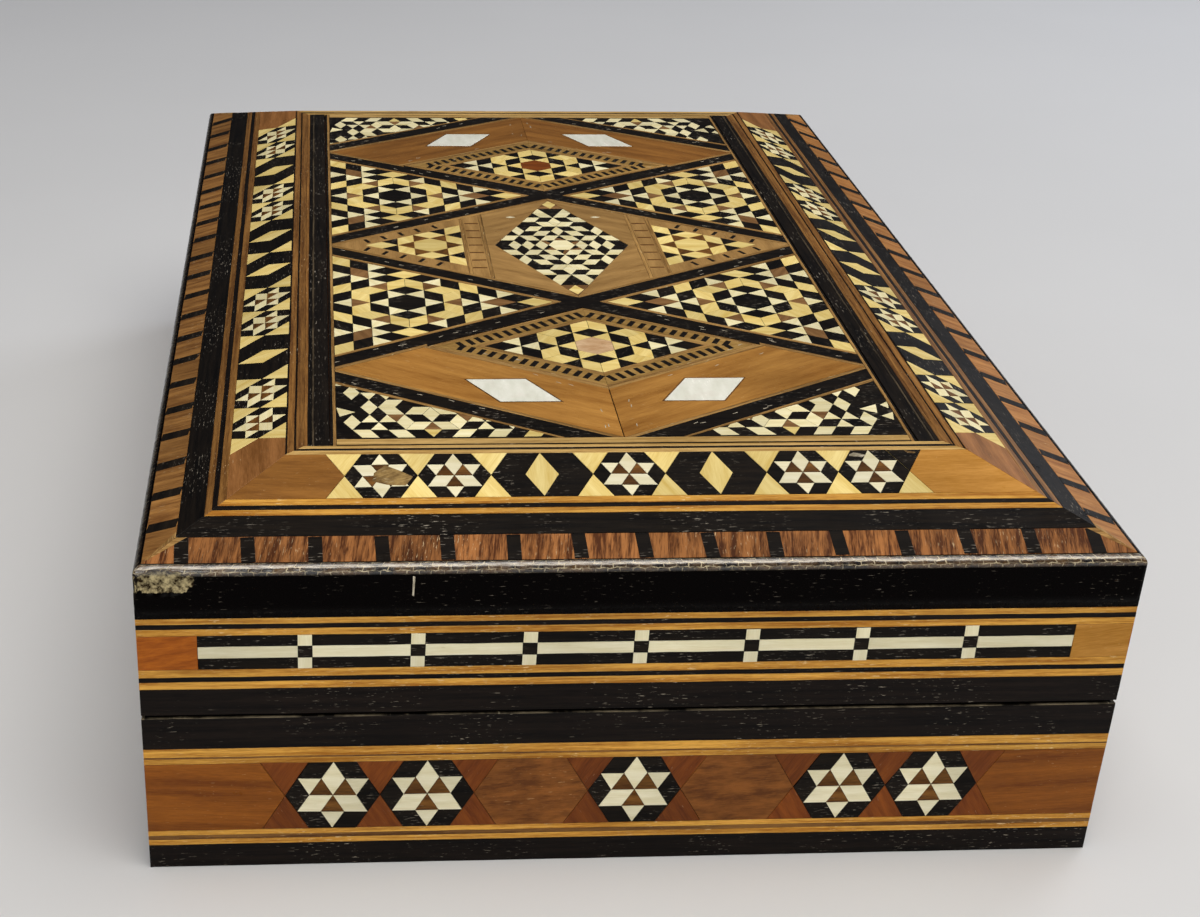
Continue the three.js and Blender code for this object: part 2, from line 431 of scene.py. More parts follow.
def new_material(name: str) -> tuple[bpy.types.Material, Bench]:
    """Start a material.

    Args:
        name: The material's name.

    Returns:
        The material, and a bench on its nodes.
    """
    made = bpy.data.materials.new(name)
    made.use_nodes = True
    return made, Bench(made.node_tree)


class Surface:
    """What every finish shares: it becomes a material at its first use.

    Attributes:
        name: The material's name.
    """

    name: str

    def material(self) -> bpy.types.Material:
        """The finish as a material, made at its first use."""
        return bpy.data.materials.get(VENEER + self.name) or self._make()

    def _make(self) -> bpy.types.Material:
        """Start the material and wire it.

        Returns:
            The new material.
        """
        made, bench = new_material(VENEER + self.name)
        self._wire(bench)
        return made

    def _wire(self, bench: Bench) -> None:
        """Wire the finish's own nodes."""
        raise NotImplementedError


@dataclass(frozen=True)
class Finish(Surface):
    """A veneer as it looks: its colours, its figure, its polish and its wear.

    Attributes:
        name: The material's name.
        dark: The colour of the dark grain.
        light: The colour of the light grain.
        mark: The width of a mark of the grain, in millimetres.
        stretch: How many times longer than wide a mark is.
        contrast: How sharply dark and light grain part, from 0 to 1.
        tone_spread: How far one piece may be lighter or darker than the next.
        roughness: The roughness of the polish.
        coat: The weight of the old lacquer over it.
        relief: The depth of the open grain, in millimetres.
        specks: How much of the surface holds pale dust and scratches.
        speck: The colour of that dust.
        gloss: The strength of the wood's own reflection.
    """

    name: str
    dark: int
    light: int
    mark: float = 0.5
    stretch: float = 14.0
    contrast: float = 0.6
    tone_spread: float = 0.3
    roughness: float = 0.34
    coat: float = 0.03
    relief: float = 0.02
    specks: float = 0.1
    speck: int = 0xC9B694
    gloss: float = 0.1

    def _make(self) -> bpy.types.Material:
        """Make the material, with its light grain as the colour of plain previews."""
        made = super()._make()
        made.diffuse_color = srgb(self.light)
        return made

    def _wire(self, bench: Bench) -> None:
        """Wire the grain, the tone of each piece, the dust and the polish."""
        grain, place = bench.grain(), bench.place()
        along = bench.scaled(grain, (1 / (self.mark * self.stretch), 1 / self.mark, 1))
        figure = bench.noise(along, 0.45, 4.0, 0.62)
        fibre = bench.noise(bench.scaled(grain, (0.35, 4.2, 1)), 1.6, 2.0, 0.7)
        wood = bench.plus(bench.times(figure, 0.7), bench.times(fibre, 0.3))
        half = 0.36 * (0.5 - 0.38 * self.contrast)
        colour = bench.mix(bench.between(wood, 0.5 - half, 0.5 + half), srgb(self.dark), srgb(self.light))
        spread = self.tone_spread
        shade = bench.between(bench.carried(TONE), 0.0, 1.0, 1.0 - spread, 1.0 + spread)
        smudge = bench.between(bench.noise(place, 60.0, 2.0), 0.3, 0.7, 0.86, 1.08)
        dust = bench.dust(grain, place, self.specks)
        patchy = bench.between(bench.noise(place, 210.0, 3.0), 0.3, 0.7, -0.07, 0.1)
        height = bench.plus(bench.times(fibre, 0.8), bench.times(dust, -0.6))
        shown = bench.multiple(colour, bench.times(shade, smudge))
        bench.dress({
            "Base Color": bench.mix(dust, shown, srgb(self.speck)),
            "Roughness": bench.plus(bench.plus(patchy, self.roughness), bench.times(dust, 0.3)),
            "Specular IOR Level": self.gloss,
            "Coat Weight": self.coat,
            "Coat Roughness": 0.16,
            "Normal": bench.bump(bench.plus(height, bench.times(figure, 0.5)), 0.6, self.relief),
        })


# Each finish by its name, its dark and light colour, and then by the other fields of Finish in their order.
EBONY = Finish("ebony", 0x080605, 0x1C1610, 0.35, 16, 0.5, 0.35, 0.34, 0.02, 0.02, 0.4, 0xA89F90, 0.07)
SIDE_EBONY = Finish("side_ebony", 0x060302, 0x1C140F,
                    0.35, 22, 0.5, 0.25, 0.4, 0.04, 0.02, 0.3, 0xB5AA98, 0.08)
GLUE = Finish("dark_glue", 0x0B0806, 0x1A120D, 0.5, 2, 0.4, 0.1, 0.6, 0.0, 0.02, 0.0)
BONE = Finish("bone", 0xE2D8AE, 0xF6F0D2, 0.5, 10, 0.2, 0.09, 0.34, 0.03, 0.006, 0.06, 0xB59B6A)
BOXWOOD = Finish("boxwood", 0xDDBE68, 0xF6E198, 0.6, 12, 0.3, 0.13, 0.36, 0.03, 0.01, 0.1, 0xA88445)
PALE_WOOD = Finish("pale_wood", 0xE6D79C, 0xFAF2CA, 0.5, 10, 0.25, 0.13, 0.36, 0.03, 0.01, 0.08, 0xA88A52)
STAR_BROWN = Finish("star_brown", 0x482A0E, 0x785022, 0.4, 8, 0.5, 0.3, 0.36, 0.03, 0.015, 0.1)
HONEY = Finish("honey_wood", 0x8A5A22, 0xBC8842, 0.9, 8, 0.15, 0.08, 0.3, 0.03, 0.012, 0.14, 0xE2C490)
DULL_HONEY = Finish("dull_honey", 0x6A421A, 0x9C6A30, 0.9, 8, 0.15, 0.08, 0.3, 0.03, 0.012, 0.14, 0xE2C490)
TAWNY = Finish("tawny_tile", 0x684624, 0x967046, 0.5, 8, 0.3, 0.14, 0.36, 0.03, 0.012, 0.1)
AMBER = Finish("amber_wood", 0xA46E20, 0xD2984A, 0.9, 12, 0.3, 0.08, 0.32, 0.03, 0.012, 0.1, 0xEBD6A8)
RAIL = Finish("rail_string", 0x74542A, 0xB48C52, 0.3, 30, 0.6, 0.12, 0.36, 0.03, 0.02, 0.35, 0xE6D3A4)
BAND_HONEY = Finish("band_honey", 0x6C380A, 0x9A5A18,
                    0.8, 20, 0.4, 0.1, 0.34, 0.08, 0.012, 0.16, 0xE6C88E, 0.12)
RED_BROWN = Finish("red_brown", 0x602C08, 0x884814,
                   0.5, 8, 0.3, 0.16, 0.36, 0.08, 0.012, 0.12, 0xC9B694, 0.12)
LONG_BROWN = Finish("long_brown", 0x5E3410, 0x8C5522,
                    0.6, 3, 0.5, 0.1, 0.36, 0.08, 0.012, 0.2, 0xD0A870, 0.12)
END_BROWN = Finish("end_brown", 0x7A4E24, 0xA87240, 0.8, 10, 0.45, 0.12, 0.34, 0.03, 0.012, 0.14, 0xD8BC94)
UMBER = Finish("umber_wood", 0x866436, 0xB89056, 0.8, 6, 0.15, 0.1, 0.34, 0.03, 0.012, 0.12, 0xCDAF80)
ROPE_BROWN = Finish("rope_brown", 0x80602C, 0xB08C50, 0.6, 6, 0.4, 0.14, 0.38, 0.03, 0.012, 0.12, 0xD9BC86)
SIDE_BLOCK = Finish("side_block", 0x6A4420, 0xA2743E, 0.5, 9, 0.55, 0.2, 0.36, 0.03, 0.02, 0.3, 0xD8C29A)
TAWNY_BLOCK = Finish("tawny_block", 0x8A5626, 0xBC854A, 0.5, 7, 0.4, 0.14, 0.36, 0.03, 0.02, 0.3, 0xE3CBA0)
ROSEWOOD = Finish("rosewood", 0x4C2810, 0xA26A3A, 0.35, 9, 0.75, 0.3, 0.34, 0.03, 0.03, 0.4, 0xE3C79A)
ORANGE_WOOD = Finish("orange_wood", 0x8A440A, 0xB46418,
                     0.4, 4, 0.4, 0.08, 0.34, 0.08, 0.012, 0.1, 0xC9B694, 0.12)
TAN = Finish("tan_string", 0xA5691A, 0xE8AE4C, 0.3, 30, 0.6, 0.14, 0.36, 0.08, 0.02, 0.45, 0xF0D59C, 0.15)
GOLD = Finish("gold_string", 0xA07A3C, 0xDAB470, 0.3, 30, 0.6, 0.12, 0.36, 0.08, 0.02, 0.3, 0xEBCF97, 0.15)
STRING_BROWN = Finish("string_brown", 0x5E3A16, 0x966A34,
                      0.3, 30, 0.6, 0.14, 0.36, 0.08, 0.02, 0.3, 0xD9B88A, 0.15)
BLUSH = Finish("blush_shell", 0xBE9468, 0xE8C8A0, 0.9, 2, 0.4, 0.05, 0.3, 0.03, 0.006, 0.05)
WORN_LINE = Finish("worn_line", 0x100C08, 0x7D725C, 0.5, 6, 0.8, 0.2, 0.5, 0.0, 0.03, 0.5, 0xC4B898)
WORN_STAR = Finish("worn_star", 0x5A4020, 0xAC8E58, 0.8, 1.5, 0.6, 0.1, 0.5, 0.0, 0.05, 0.45, 0xD8C8A0)
SCRATCH = Finish("scratch", 0x8F8570, 0xD8CFBA, 0.3, 4, 0.6, 0.1, 0.6, 0.0)
GREY_LINE = Finish("grey_line", 0x231D15, 0x584C3A, 0.3, 10, 0.7, 0.1, 0.5, 0.0, 0.01, 0.2)


@dataclass(frozen=True)
class WornRim(Surface):
    """The lid's edge: ebony, lacquer broken into small cells where worn, and bare wood where chipped.

    Attributes:
        name: The material's name.
        cell: The length of a cell of broken lacquer, in millimetres.
        cell_height: The height of such a cell.
        line: The width of the crack between two cells.
        bend: How far the cracks stray from straight lines.
        ebony: The colour of the sound ebony.
        dust: The colour of the dust on it.
        body: The dark and the golden colour of the lacquer.
        crest: The pale colour along the top of the round, partly lacquer worn pale and partly a painted
            highlight.
        crack: The colour of the cracks.
        wood: The dark and the light colour of the bare wood.
    """

    name: str = "worn_rim"
    cell: float = 1.35
    cell_height: float = 0.5
    line: float = 0.08
    bend: float = 0.6
    ebony: int = 0x030101
    dust: int = 0xB5AA98
    body: tuple[int, int] = (0x140D08, 0x604626)
    crest: int = 0xCFC6B6
    crack: int = 0xD8C8A2
    wood: tuple[int, int] = (0x271A0D, 0xC4B488)

    WEAR = "wear"
    BARE = "bare"

    def _cracks(self, bench: Bench, grain: Any) -> bpy.types.NodeSocket:
        """Draw the cracks between the cells of broken lacquer.

        Args:
            bench: The material's bench.
            grain: The output that runs along the grain.

        Returns:
            One on a crack and zero inside a cell.
        """
        sway = bench.node("ShaderNodeTexNoise", {"Vector": grain, "Scale": 1.1}).outputs["Color"]
        inputs = {0: grain, 1: bench.multiple(sway, self.bend)}
        bent = bench.node("ShaderNodeVectorMath", inputs, operation="ADD").outputs[0]
        inputs = {"Vector": bent, "Scale": 1.0, "Mortar Size": self.line, "Mortar Smooth": 0.6,
                  "Brick Width": self.cell, "Row Height": self.cell_height}
        return bench.node("ShaderNodeTexBrick", inputs).outputs["Fac"]

    def _crackled(self, bench: Bench, grain: Any, cracks: Any) -> bpy.types.NodeSocket:
        """Colour the broken lacquer, with a pale band along the top of the round that is partly wear and
        partly a painted highlight.

        Args:
            bench: The material's bench.
            grain: The output that runs along the grain.
            cracks: The output that is one on a crack.

        Returns:
            The colour of the lacquer and its cracks.
        """
        golden = bench.between(bench.noise(grain, 0.32, 4.0, 0.7), 0.42, 0.62)
        body = bench.mix(golden, srgb(self.body[0]), srgb(self.body[1]))
        # Painted highlight, partly real wear: a pale band laid where the rim's normal lies part way between
        # level and upright, broken by streaks along the grain.
        slope = bench.up_part(bench.node("ShaderNodeNewGeometry").outputs["Normal"])
        crest = bench.times(bench.between(slope, 0.6, 0.74), bench.between(slope, 0.9, 0.82))
        streak = bench.noise(bench.scaled(grain, (0.6, 3.5, 1)), 1.0, 3.0)
        rubbed_and_highlight = bench.times(crest, bench.between(streak, 0.4, 0.58, 0.0, 0.75))
        broken = bench.between(bench.noise(grain, 0.9, 3.0), 0.4, 0.62, 0.1, 1.0)
        shown = bench.mix(rubbed_and_highlight, body, srgb(self.crest))
        return bench.mix(bench.times(bench.times(cracks, broken), 0.85), shown, srgb(self.crack))

    def _wire(self, bench: Bench) -> None:
        """Wire ebony, broken lacquer and bare wood, mixed by the points' own wear."""
        grain, place = bench.grain(), bench.place()
        edge = bench.between(bench.carried(self.WEAR), 0.3, 0.9)
        dust = bench.times(bench.dust(grain, place, 0.22), 0.7)
        ebony = bench.mix(dust, srgb(self.ebony), srgb(self.dust))
        cracks = self._cracks(bench, grain)
        sound = bench.mix(edge, ebony, self._crackled(bench, grain, cracks))
        cloud = bench.noise(grain, 1.1, 4.0, 0.7)
        wood = bench.mix(bench.between(cloud, 0.4, 0.62), srgb(self.wood[0]), srgb(self.wood[1]))
        ragged = bench.plus(bench.carried(self.BARE), bench.between(cloud, 0.3, 0.7, -0.16, 0.16))
        chipped = bench.between(ragged, 0.3, 0.42)
        rough = bench.between(bench.noise(grain, 1.3, 2.0), 0.3, 0.7, 0.14, 0.4)
        cells = bench.times(bench.maths("SUBTRACT", 1.0, cracks), edge)
        height = bench.plus(cells, bench.times(bench.times(cloud, chipped), 6.0))
        bench.dress({
            "Base Color": bench.mix(chipped, sound, wood),
            "Roughness": bench.plus(rough, bench.times(chipped, 0.35)),
            "Specular IOR Level": bench.between(edge, 0.0, 1.0, 0.03, 1.0),
            "Coat Weight": bench.times(edge, 0.5),
            "Coat Roughness": 0.12,
            "Normal": bench.bump(height, 0.5, 0.03),
        })


@dataclass(frozen=True)
class Pearl(Surface):
    """Mother-of-pearl: a smooth pale shell with soft bands of blue and rose.

    Attributes:
        name: The material's name.
        cool: The colours of the soft bands.
        rose: The colour of the rosy clouds.
    """

    name: str = "mother_of_pearl"
    cool: tuple[int, int] = (0xEAEBDA, 0xFDFDF0)
    rose: int = 0xEBDFD2

    def _wire(self, bench: Bench) -> None:
        """Wire the soft bands and the polish."""
        place = bench.place()
        band = bench.noise(bench.scaled(place, (900, 260, 260)), 1.0, 3.0)
        cool = bench.mix(bench.between(band, 0.3, 0.7), srgb(self.cool[0]), srgb(self.cool[1]))
        rosy = bench.between(bench.noise(place, 520.0, 2.0), 0.52, 0.7, 0.0, 0.25)
        bench.dress({
            "Base Color": bench.mix(rosy, cool, srgb(self.rose)),
            "Roughness": bench.between(band, 0.3, 0.7, 0.14, 0.28),
            "Coat Weight": 0.5,
            "Coat Roughness": 0.08,
        })


@dataclass(frozen=True)
class CarcassWood(Surface):
    """The plain wood under the veneer, seen only from below and inside.

    Attributes:
        name: The material's name.
        dark: The colour of the dark grain.
        light: The colour of the light grain.
        pore: The colour of the pores.
        roughness: The roughness of the bare wood.
    """

    name: str
    dark: int
    light: int
    pore: int = 0x24150A
    roughness: float = 0.55

    def _wire(self, bench: Bench) -> None:
        """Wire a grain that runs the length of the box."""
        place = bench.place()
        figure = bench.noise(bench.scaled(place, (420, 26, 420)), 1.0, 5.0, 0.6)
        pores = bench.noise(bench.scaled(place, (3200, 180, 3200)), 1.0, 2.0, 0.6)
        wood = bench.mix(bench.between(figure, 0.35, 0.66), srgb(self.dark), srgb(self.light))
        smooth, coarse = self.roughness - 0.07, self.roughness + 0.1
        bench.dress({
            "Base Color": bench.mix(bench.between(pores, 0.6, 0.75, 0.0, 0.5), wood, srgb(self.pore)),
            "Roughness": bench.between(figure, 0.3, 0.7, smooth, coarse),
            "Normal": bench.bump(pores, 0.5, 0.04),
        })


RIM = WornRim()
PEARL = Pearl()
WALNUT = CarcassWood("carcass_walnut", 0x3E2412, 0x6E4527)


def reach_of(node: str, axis: int) -> tuple[float, float]:
    """How far a node of the frame reaches along an axis, in millimetres, with half a joint on each side."""
    low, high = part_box(node)
    return low[axis] / MM - HALF_GAP, high[axis] / MM + HALF_GAP


class BoxSizes:
    """The sizes of the box that every sub-assembly shares, read from the frame, in millimetres.

    Attributes:
        half_width: Half the box's width.
        half_length: Half its length.
        top_z: The height of the flat top.
        slope: The slope of the border, in radians.
        edge_z: The height at which the border's slope meets the walls.
        block_inset: How far from the wall the border's blocks begin.
        frame_inset: How far from it the ebony frame begins.
        star_inset: How far from it the strings of the star band begin.
        bevel_inset: How far from it the slope ends.
    """

    def __init__(self) -> None:
        """Read the outer sizes, the seam and the slope of the border."""
        low, high = (Vector(corner) / MM for corner in cad_box)
        self.half_width = (high.x - low.x) / 2
        self.half_length = (high.y - low.y) / 2
        self.top_z = high.z
        blocks_high, stars_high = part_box("border_front_blocks")[1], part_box("border_front_stars")[1]
        rise = (stars_high.z - blocks_high.z) / (stars_high.y - blocks_high.y)
        self.slope = math.atan(rise)
        self.edge_z = blocks_high.z / MM - rise * (blocks_high.y / MM + self.half_length)
        blocks, stars = reach_of("border_front_blocks", 1), reach_of("border_front_stars", 1)
        self.block_inset, self.frame_inset = (self.half_length + end for end in blocks)
        self.star_inset, self.bevel_inset = (self.half_length + end for end in stars)

    def reach(self, side: Side) -> float:
        """Half the length of a side."""
        return self.half_width if side.is_short else self.half_length

    def wall(self, side: Side) -> Facet:
        """The upright face of a side, with its zero at the middle of the foot."""
        away = self.half_length if side.is_short else self.half_width
        return Facet(side.turn(Vector((0, -away, 0))), side.turn(Vector((1, 0, 0))), Vector((0, 0, 1)))

    def bevel(self, side: Side) -> Facet:
        """The sloping face over a side, with its zero at the middle of the outer edge."""
        wall = self.wall(side)
        up = Vector((0, math.cos(self.slope), math.sin(self.slope)))
        return Facet(wall.origin + Vector((0, 0, self.edge_z)), wall.right, side.turn(up))

    def bevel_strip(self, side: Side, outer: float, inner: float) -> Outline:
        """The mitred outline on the slope between two insets seen from above."""
        reach, lean = self.reach(side), math.cos(self.slope)
        return [
            (-(reach - outer), outer / lean),
            (reach - outer, outer / lean),
            (reach - inner, inner / lean),
            (-(reach - inner), inner / lean),
        ]

    def level_strip(self, side: Side, low: float, high: float) -> Outline:
        """The strip over the whole length of a wall between two heights."""
        return rectangle(-self.reach(side), self.reach(side), low, high)

    def top(self) -> Facet:
        """The flat top, with its zero in the middle."""
        return Facet(Vector((0, 0, self.top_z)), Vector((1, 0, 0)), Vector((0, 1, 0)))


class Veneer:
    """The veneer pieces that cover one node of the frame, gathered into one mesh.

    Attributes:
        node: The node, or a name for a loose motif.
        facet: The face that the pieces lie on.
        points: The mesh's points, in metres.
    """

    WAVES = 0.6
    SEED_STEP = 3.7
    GRAIN_SPREAD = 900
    GREATEST_TILT = 0.006
    GREATEST_DIP = 0.012
    MERGING = 2e-6
    ON_FACE = 0.05
    MEAN_TONE = 0.5

    def __init__(self, node: str, facet: Facet, seed: int, waver: float = WAVER) -> None:
        """Start an empty layer.

        Args:
            node: The node of the frame that the layer stands for, or a name for a loose motif.
            facet: The face that the pieces lie on.
            seed: The seed of the small differences between the pieces.
            waver: How far a hand-cut edge strays, in millimetres.
        """
        self.node = node
        self.facet = facet
        self.seed = seed
        self.waver = waver
        self.dice = random.Random(seed)
        self.points: list[Vector] = []
        self.faces: list[tuple[int, ...]] = []
        self.grain: list[Point] = []
        self.tones: list[float] = []
        self.slots: list[int] = []
        self.palette: list[Surface] = []

    def _slot(self, finish: Surface) -> int:
        """The place of a finish among the layer's materials."""
        if finish not in self.palette:
            self.palette.append(finish)
        return self.palette.index(finish)

    def _strayed(self, point: Point) -> Point:
        """A place moved a little, and by the same amount for every piece that meets there."""
        spot = Vector((point[0] * self.WAVES, point[1] * self.WAVES, self.seed * self.SEED_STEP))
        drift = noise.noise_vector(spot)
        return (point[0] + drift.x * self.waver, point[1] + drift.y * self.waver)

    def add_face(self, corners: Sequence[int], flat: Sequence[Point], finish: Surface, tone: float) -> None:
        """Add one face whose points are in the layer.

        Args:
            corners: The numbers of its points, anticlockwise from outside.
            flat: Their places on the grain's map.
            finish: The face's finish.
            tone: How light the piece is, from 0 to 1.
        """
        self.faces.append(tuple(corners))
        self.grain.extend(flat)
        self.tones.append(tone)
        self.slots.append(self._slot(finish))

    def lay(
        self,
        outline: Sequence[Point],
        finish: Surface,
        grain: float = 0.0,
        lift: float = 0.0,
        facet: Facet | None = None,
        step: float = 4.0,
        joint: float = GLUE_LINE,
    ) -> None:
        """Lay one convex veneer piece with a fine chamfer round its face.

        Args:
            outline: Its outline on the face, up to the middle of the joints.
            finish: Its finish.
            grain: The direction of its grain, in degrees.
            lift: How far it stands proud of the face, in millimetres.
            facet: The face, where it isn't the layer's own.
            step: The longest edge before it is parted so that it can stray.
            joint: The width of the glue line round it.
        """
        face = facet or self.facet
        inner = thinned(shrunk(thinned(anticlockwise(outline)), joint / 2 + CHAMFER))
        if len(inner) < 3 or area(inner) < SMALLEST_AREA:
            return
        outer = grown(inner, CHAMFER)
        rings: list[Outline] = [[], []]
        for index, corner in enumerate(inner):
            after = (index + 1) % len(inner)
            parts = max(1, math.ceil(math.dist(corner, inner[after]) / step))
            for part in range(parts):
                for ring, source in zip(rings, (inner, outer)):
                    ring.append(part_way(source[index], source[after], part / parts))
        flat, rim = ([self._strayed(p) for p in ring] for ring in rings)
        centre = middle(flat)
        steepest = min(self.GREATEST_DIP / max(math.dist(centre, p) for p in flat), self.GREATEST_TILT)
        tilt = [self.dice.uniform(-1, 1) * steepest for _ in range(2)]
        level = [lift + tilt[0] * (u - centre[0]) + tilt[1] * (v - centre[1]) for u, v in flat]
        start, count = len(self.points), len(flat)
        self.points.extend(face.place(u, v, z) for (u, v), z in zip(flat, level))
        self.points.extend(face.place(u, v, z - CHAMFER) for (u, v), z in zip(rim, level))
        self.points.extend(face.place(u, v, lift - VENEER_DEPTH) for u, v in flat)
        turn, spread = math.radians(grain), self.GRAIN_SPREAD
        shift = (self.dice.uniform(0, spread), self.dice.uniform(0, spread))
        cos, sin = math.cos(turn), math.sin(turn)
        chart = [(u * cos + v * sin + shift[0], v * cos - u * sin + shift[1]) for u, v in flat]
        tone = self.dice.random()
        self.add_face(range(start, start + count), chart, finish, tone)
        under = range(start + 3 * count - 1, start + 2 * count - 1, -1)
        self.add_face(under, chart[::-1], finish, tone)
        for ring in range(2):
            low, high = start + count * (ring + 1), start + count * ring
            for i in range(count):
                j = (i + 1) % count
                corners = (low + i, low + j, high + j, high + i)
                self.add_face(corners, (chart[i], chart[j], chart[j], chart[i]), finish, tone)

    def lay_inside(
        self, window: Sequence[Point], outline: Sequence[Point], finish: Surface, **more: Any
    ) -> None:
        """Lay the part of a piece that is inside a convex window."""
        self.lay(clipped(anticlockwise(outline), window), finish, **more)

    def lay_strings(
        self,
        start: float,
        widths: Sequence[float],
        finishes: Sequence[Surface],
        strip: Callable[[float, float], Outline],
        facet: Facet | None = None,
    ) -> None:
        """Lay parallel strings side by side.

        Args:
            start: The height, or the inset, where the first string begins.
            widths: How far from there each string ends and the next begins.
            finishes: The finish of each string.
            strip: What gives a string's outline from its two edges.
            facet: The face, where it isn't the layer's own.
        """
        bounds = [start, *(start + width for width in widths)]
        for low, high, finish in zip(bounds, bounds[1:], finishes):
            self.lay(strip(low, high), finish, facet=facet, step=STRIP_STEP, joint=FINE_JOINT)

    def absorb(self, mesh: bpy.types.Mesh, finish: Surface) -> None:
        """Take in a plain mesh made by a Geometry Nodes tree, with its own grain and tone.

        Args:
            mesh: The converted mesh, which is removed afterwards.
            finish: The finish of all its faces.
        """
        start = len(self.points)
        self.points.extend(vertex.co.copy() for vertex in mesh.vertices)
        chart = mesh.uv_layers[GRAIN_MAP].data
        tones = mesh.attributes[TONE].data
        for face in mesh.polygons:
            flat = [tuple(chart[loop].uv) for loop in face.loop_indices]
            self.add_face([start + i for i in face.vertices], flat, finish, tones[face.index].value)
        bpy.data.meshes.remove(mesh)

    def absorb_ground(self, finish: Surface, facets: Iterable[Facet]) -> None:
        """Take in a copy of the node's own solid, sunk a little below the veneer.

        Args:
            finish: The finish of what shows in the joints.
            facets: The faces whose points sink.
        """
        ground = bmesh.new()
        ground.from_mesh(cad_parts[self.node].data)
        bmesh.ops.remove_doubles(ground, verts=ground.verts, dist=self.MERGING)
        for facet in facets:
            for vertex in ground.verts:
                if abs(facet.read(vertex.co)[2]) < self.ON_FACE:
                    vertex.co -= facet.out * GROUND_SINK * MM
        start = len(self.points)
        self.points.extend(vertex.co.copy() for vertex in ground.verts)
        for face in ground.faces:
            flat = [self.facet.read(vertex.co)[:2] for vertex in face.verts]
            corners = [start + vertex.index for vertex in face.verts]
            self.add_face(corners, flat, finish, self.MEAN_TONE)
        ground.free()

    def mesh(self, name: str) -> bpy.types.Mesh:
        """Turn everything that was laid into one mesh.

        Args:
            name: The mesh's name.

        Returns:
            The mesh with its materials, grain map and tones.
        """
        made = bpy.data.meshes.new(name)
        made.from_pydata(self.points, [], self.faces)
        for finish in self.palette:
            made.materials.append(finish.material())
        made.polygons.foreach_set("material_index", self.slots)
        chart = made.uv_layers.new(name=GRAIN_MAP)
        chart.data.foreach_set("uv", [number for place in self.grain for number in place])
        made.attributes.new(TONE, "FLOAT", "FACE").data.foreach_set("value", self.tones)
        made.update()
        return made

    def finish_piece(self) -> bpy.types.Object:
        """Make the piece, which rides on the box and stands for its node.

        Returns:
            The piece's object.
        """
        name = f"{self.node}.veneer"
        piece = bpy.data.objects.new(name, self.mesh(name))
        bpy.context.scene.collection.objects.link(piece)
        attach(piece, BODY)
        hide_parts(self.node)
        log.info("%s: %d faces", name, len(piece.data.polygons))
        return piece


@dataclass(frozen=True)
class Row:
    """A straight row of motifs on a face, in millimetres.

    Attributes:
        start: The place of the first motif's middle.
        step: The way from one motif to the next.
        count: How many there are.
        lean: The turn of each motif, in degrees.
        sway: How far that turn may stray, in degrees.
        stray: How far a motif may lie off its place.
        seed: The seed of those strays.
    """

    start: Point
    step: Point
    count: int
    lean: float = 0.0
    sway: float = 2.0
    stray: float = 0.06
    seed: int = 1


@dataclass(frozen=True)
class Motif:
    """A small group of veneer pieces in one finish, about its own middle.

    Attributes:
        outlines: The outlines of its pieces.
        finish: Their finish.
        grain: The direction of their grain, in degrees.
        lift: How far they stand proud, in millimetres.
    """

    outlines: Sequence[Outline]
    finish: Surface
    grain: float = 0.0
    lift: float = PROUD

    def build(self, seed: int) -> bpy.types.Object:
        """Lay the pieces flat about the origin.

        Args:
            seed: The seed of their tones.

        Returns:
            A loose object with the motif's mesh.
        """
        flat = Veneer("motif", FLAT, seed, 0.0)
        for outline in self.outlines:
            flat.lay(outline, self.finish, self.grain, self.lift)
        return bpy.data.objects.new("motif", flat.mesh("motif"))


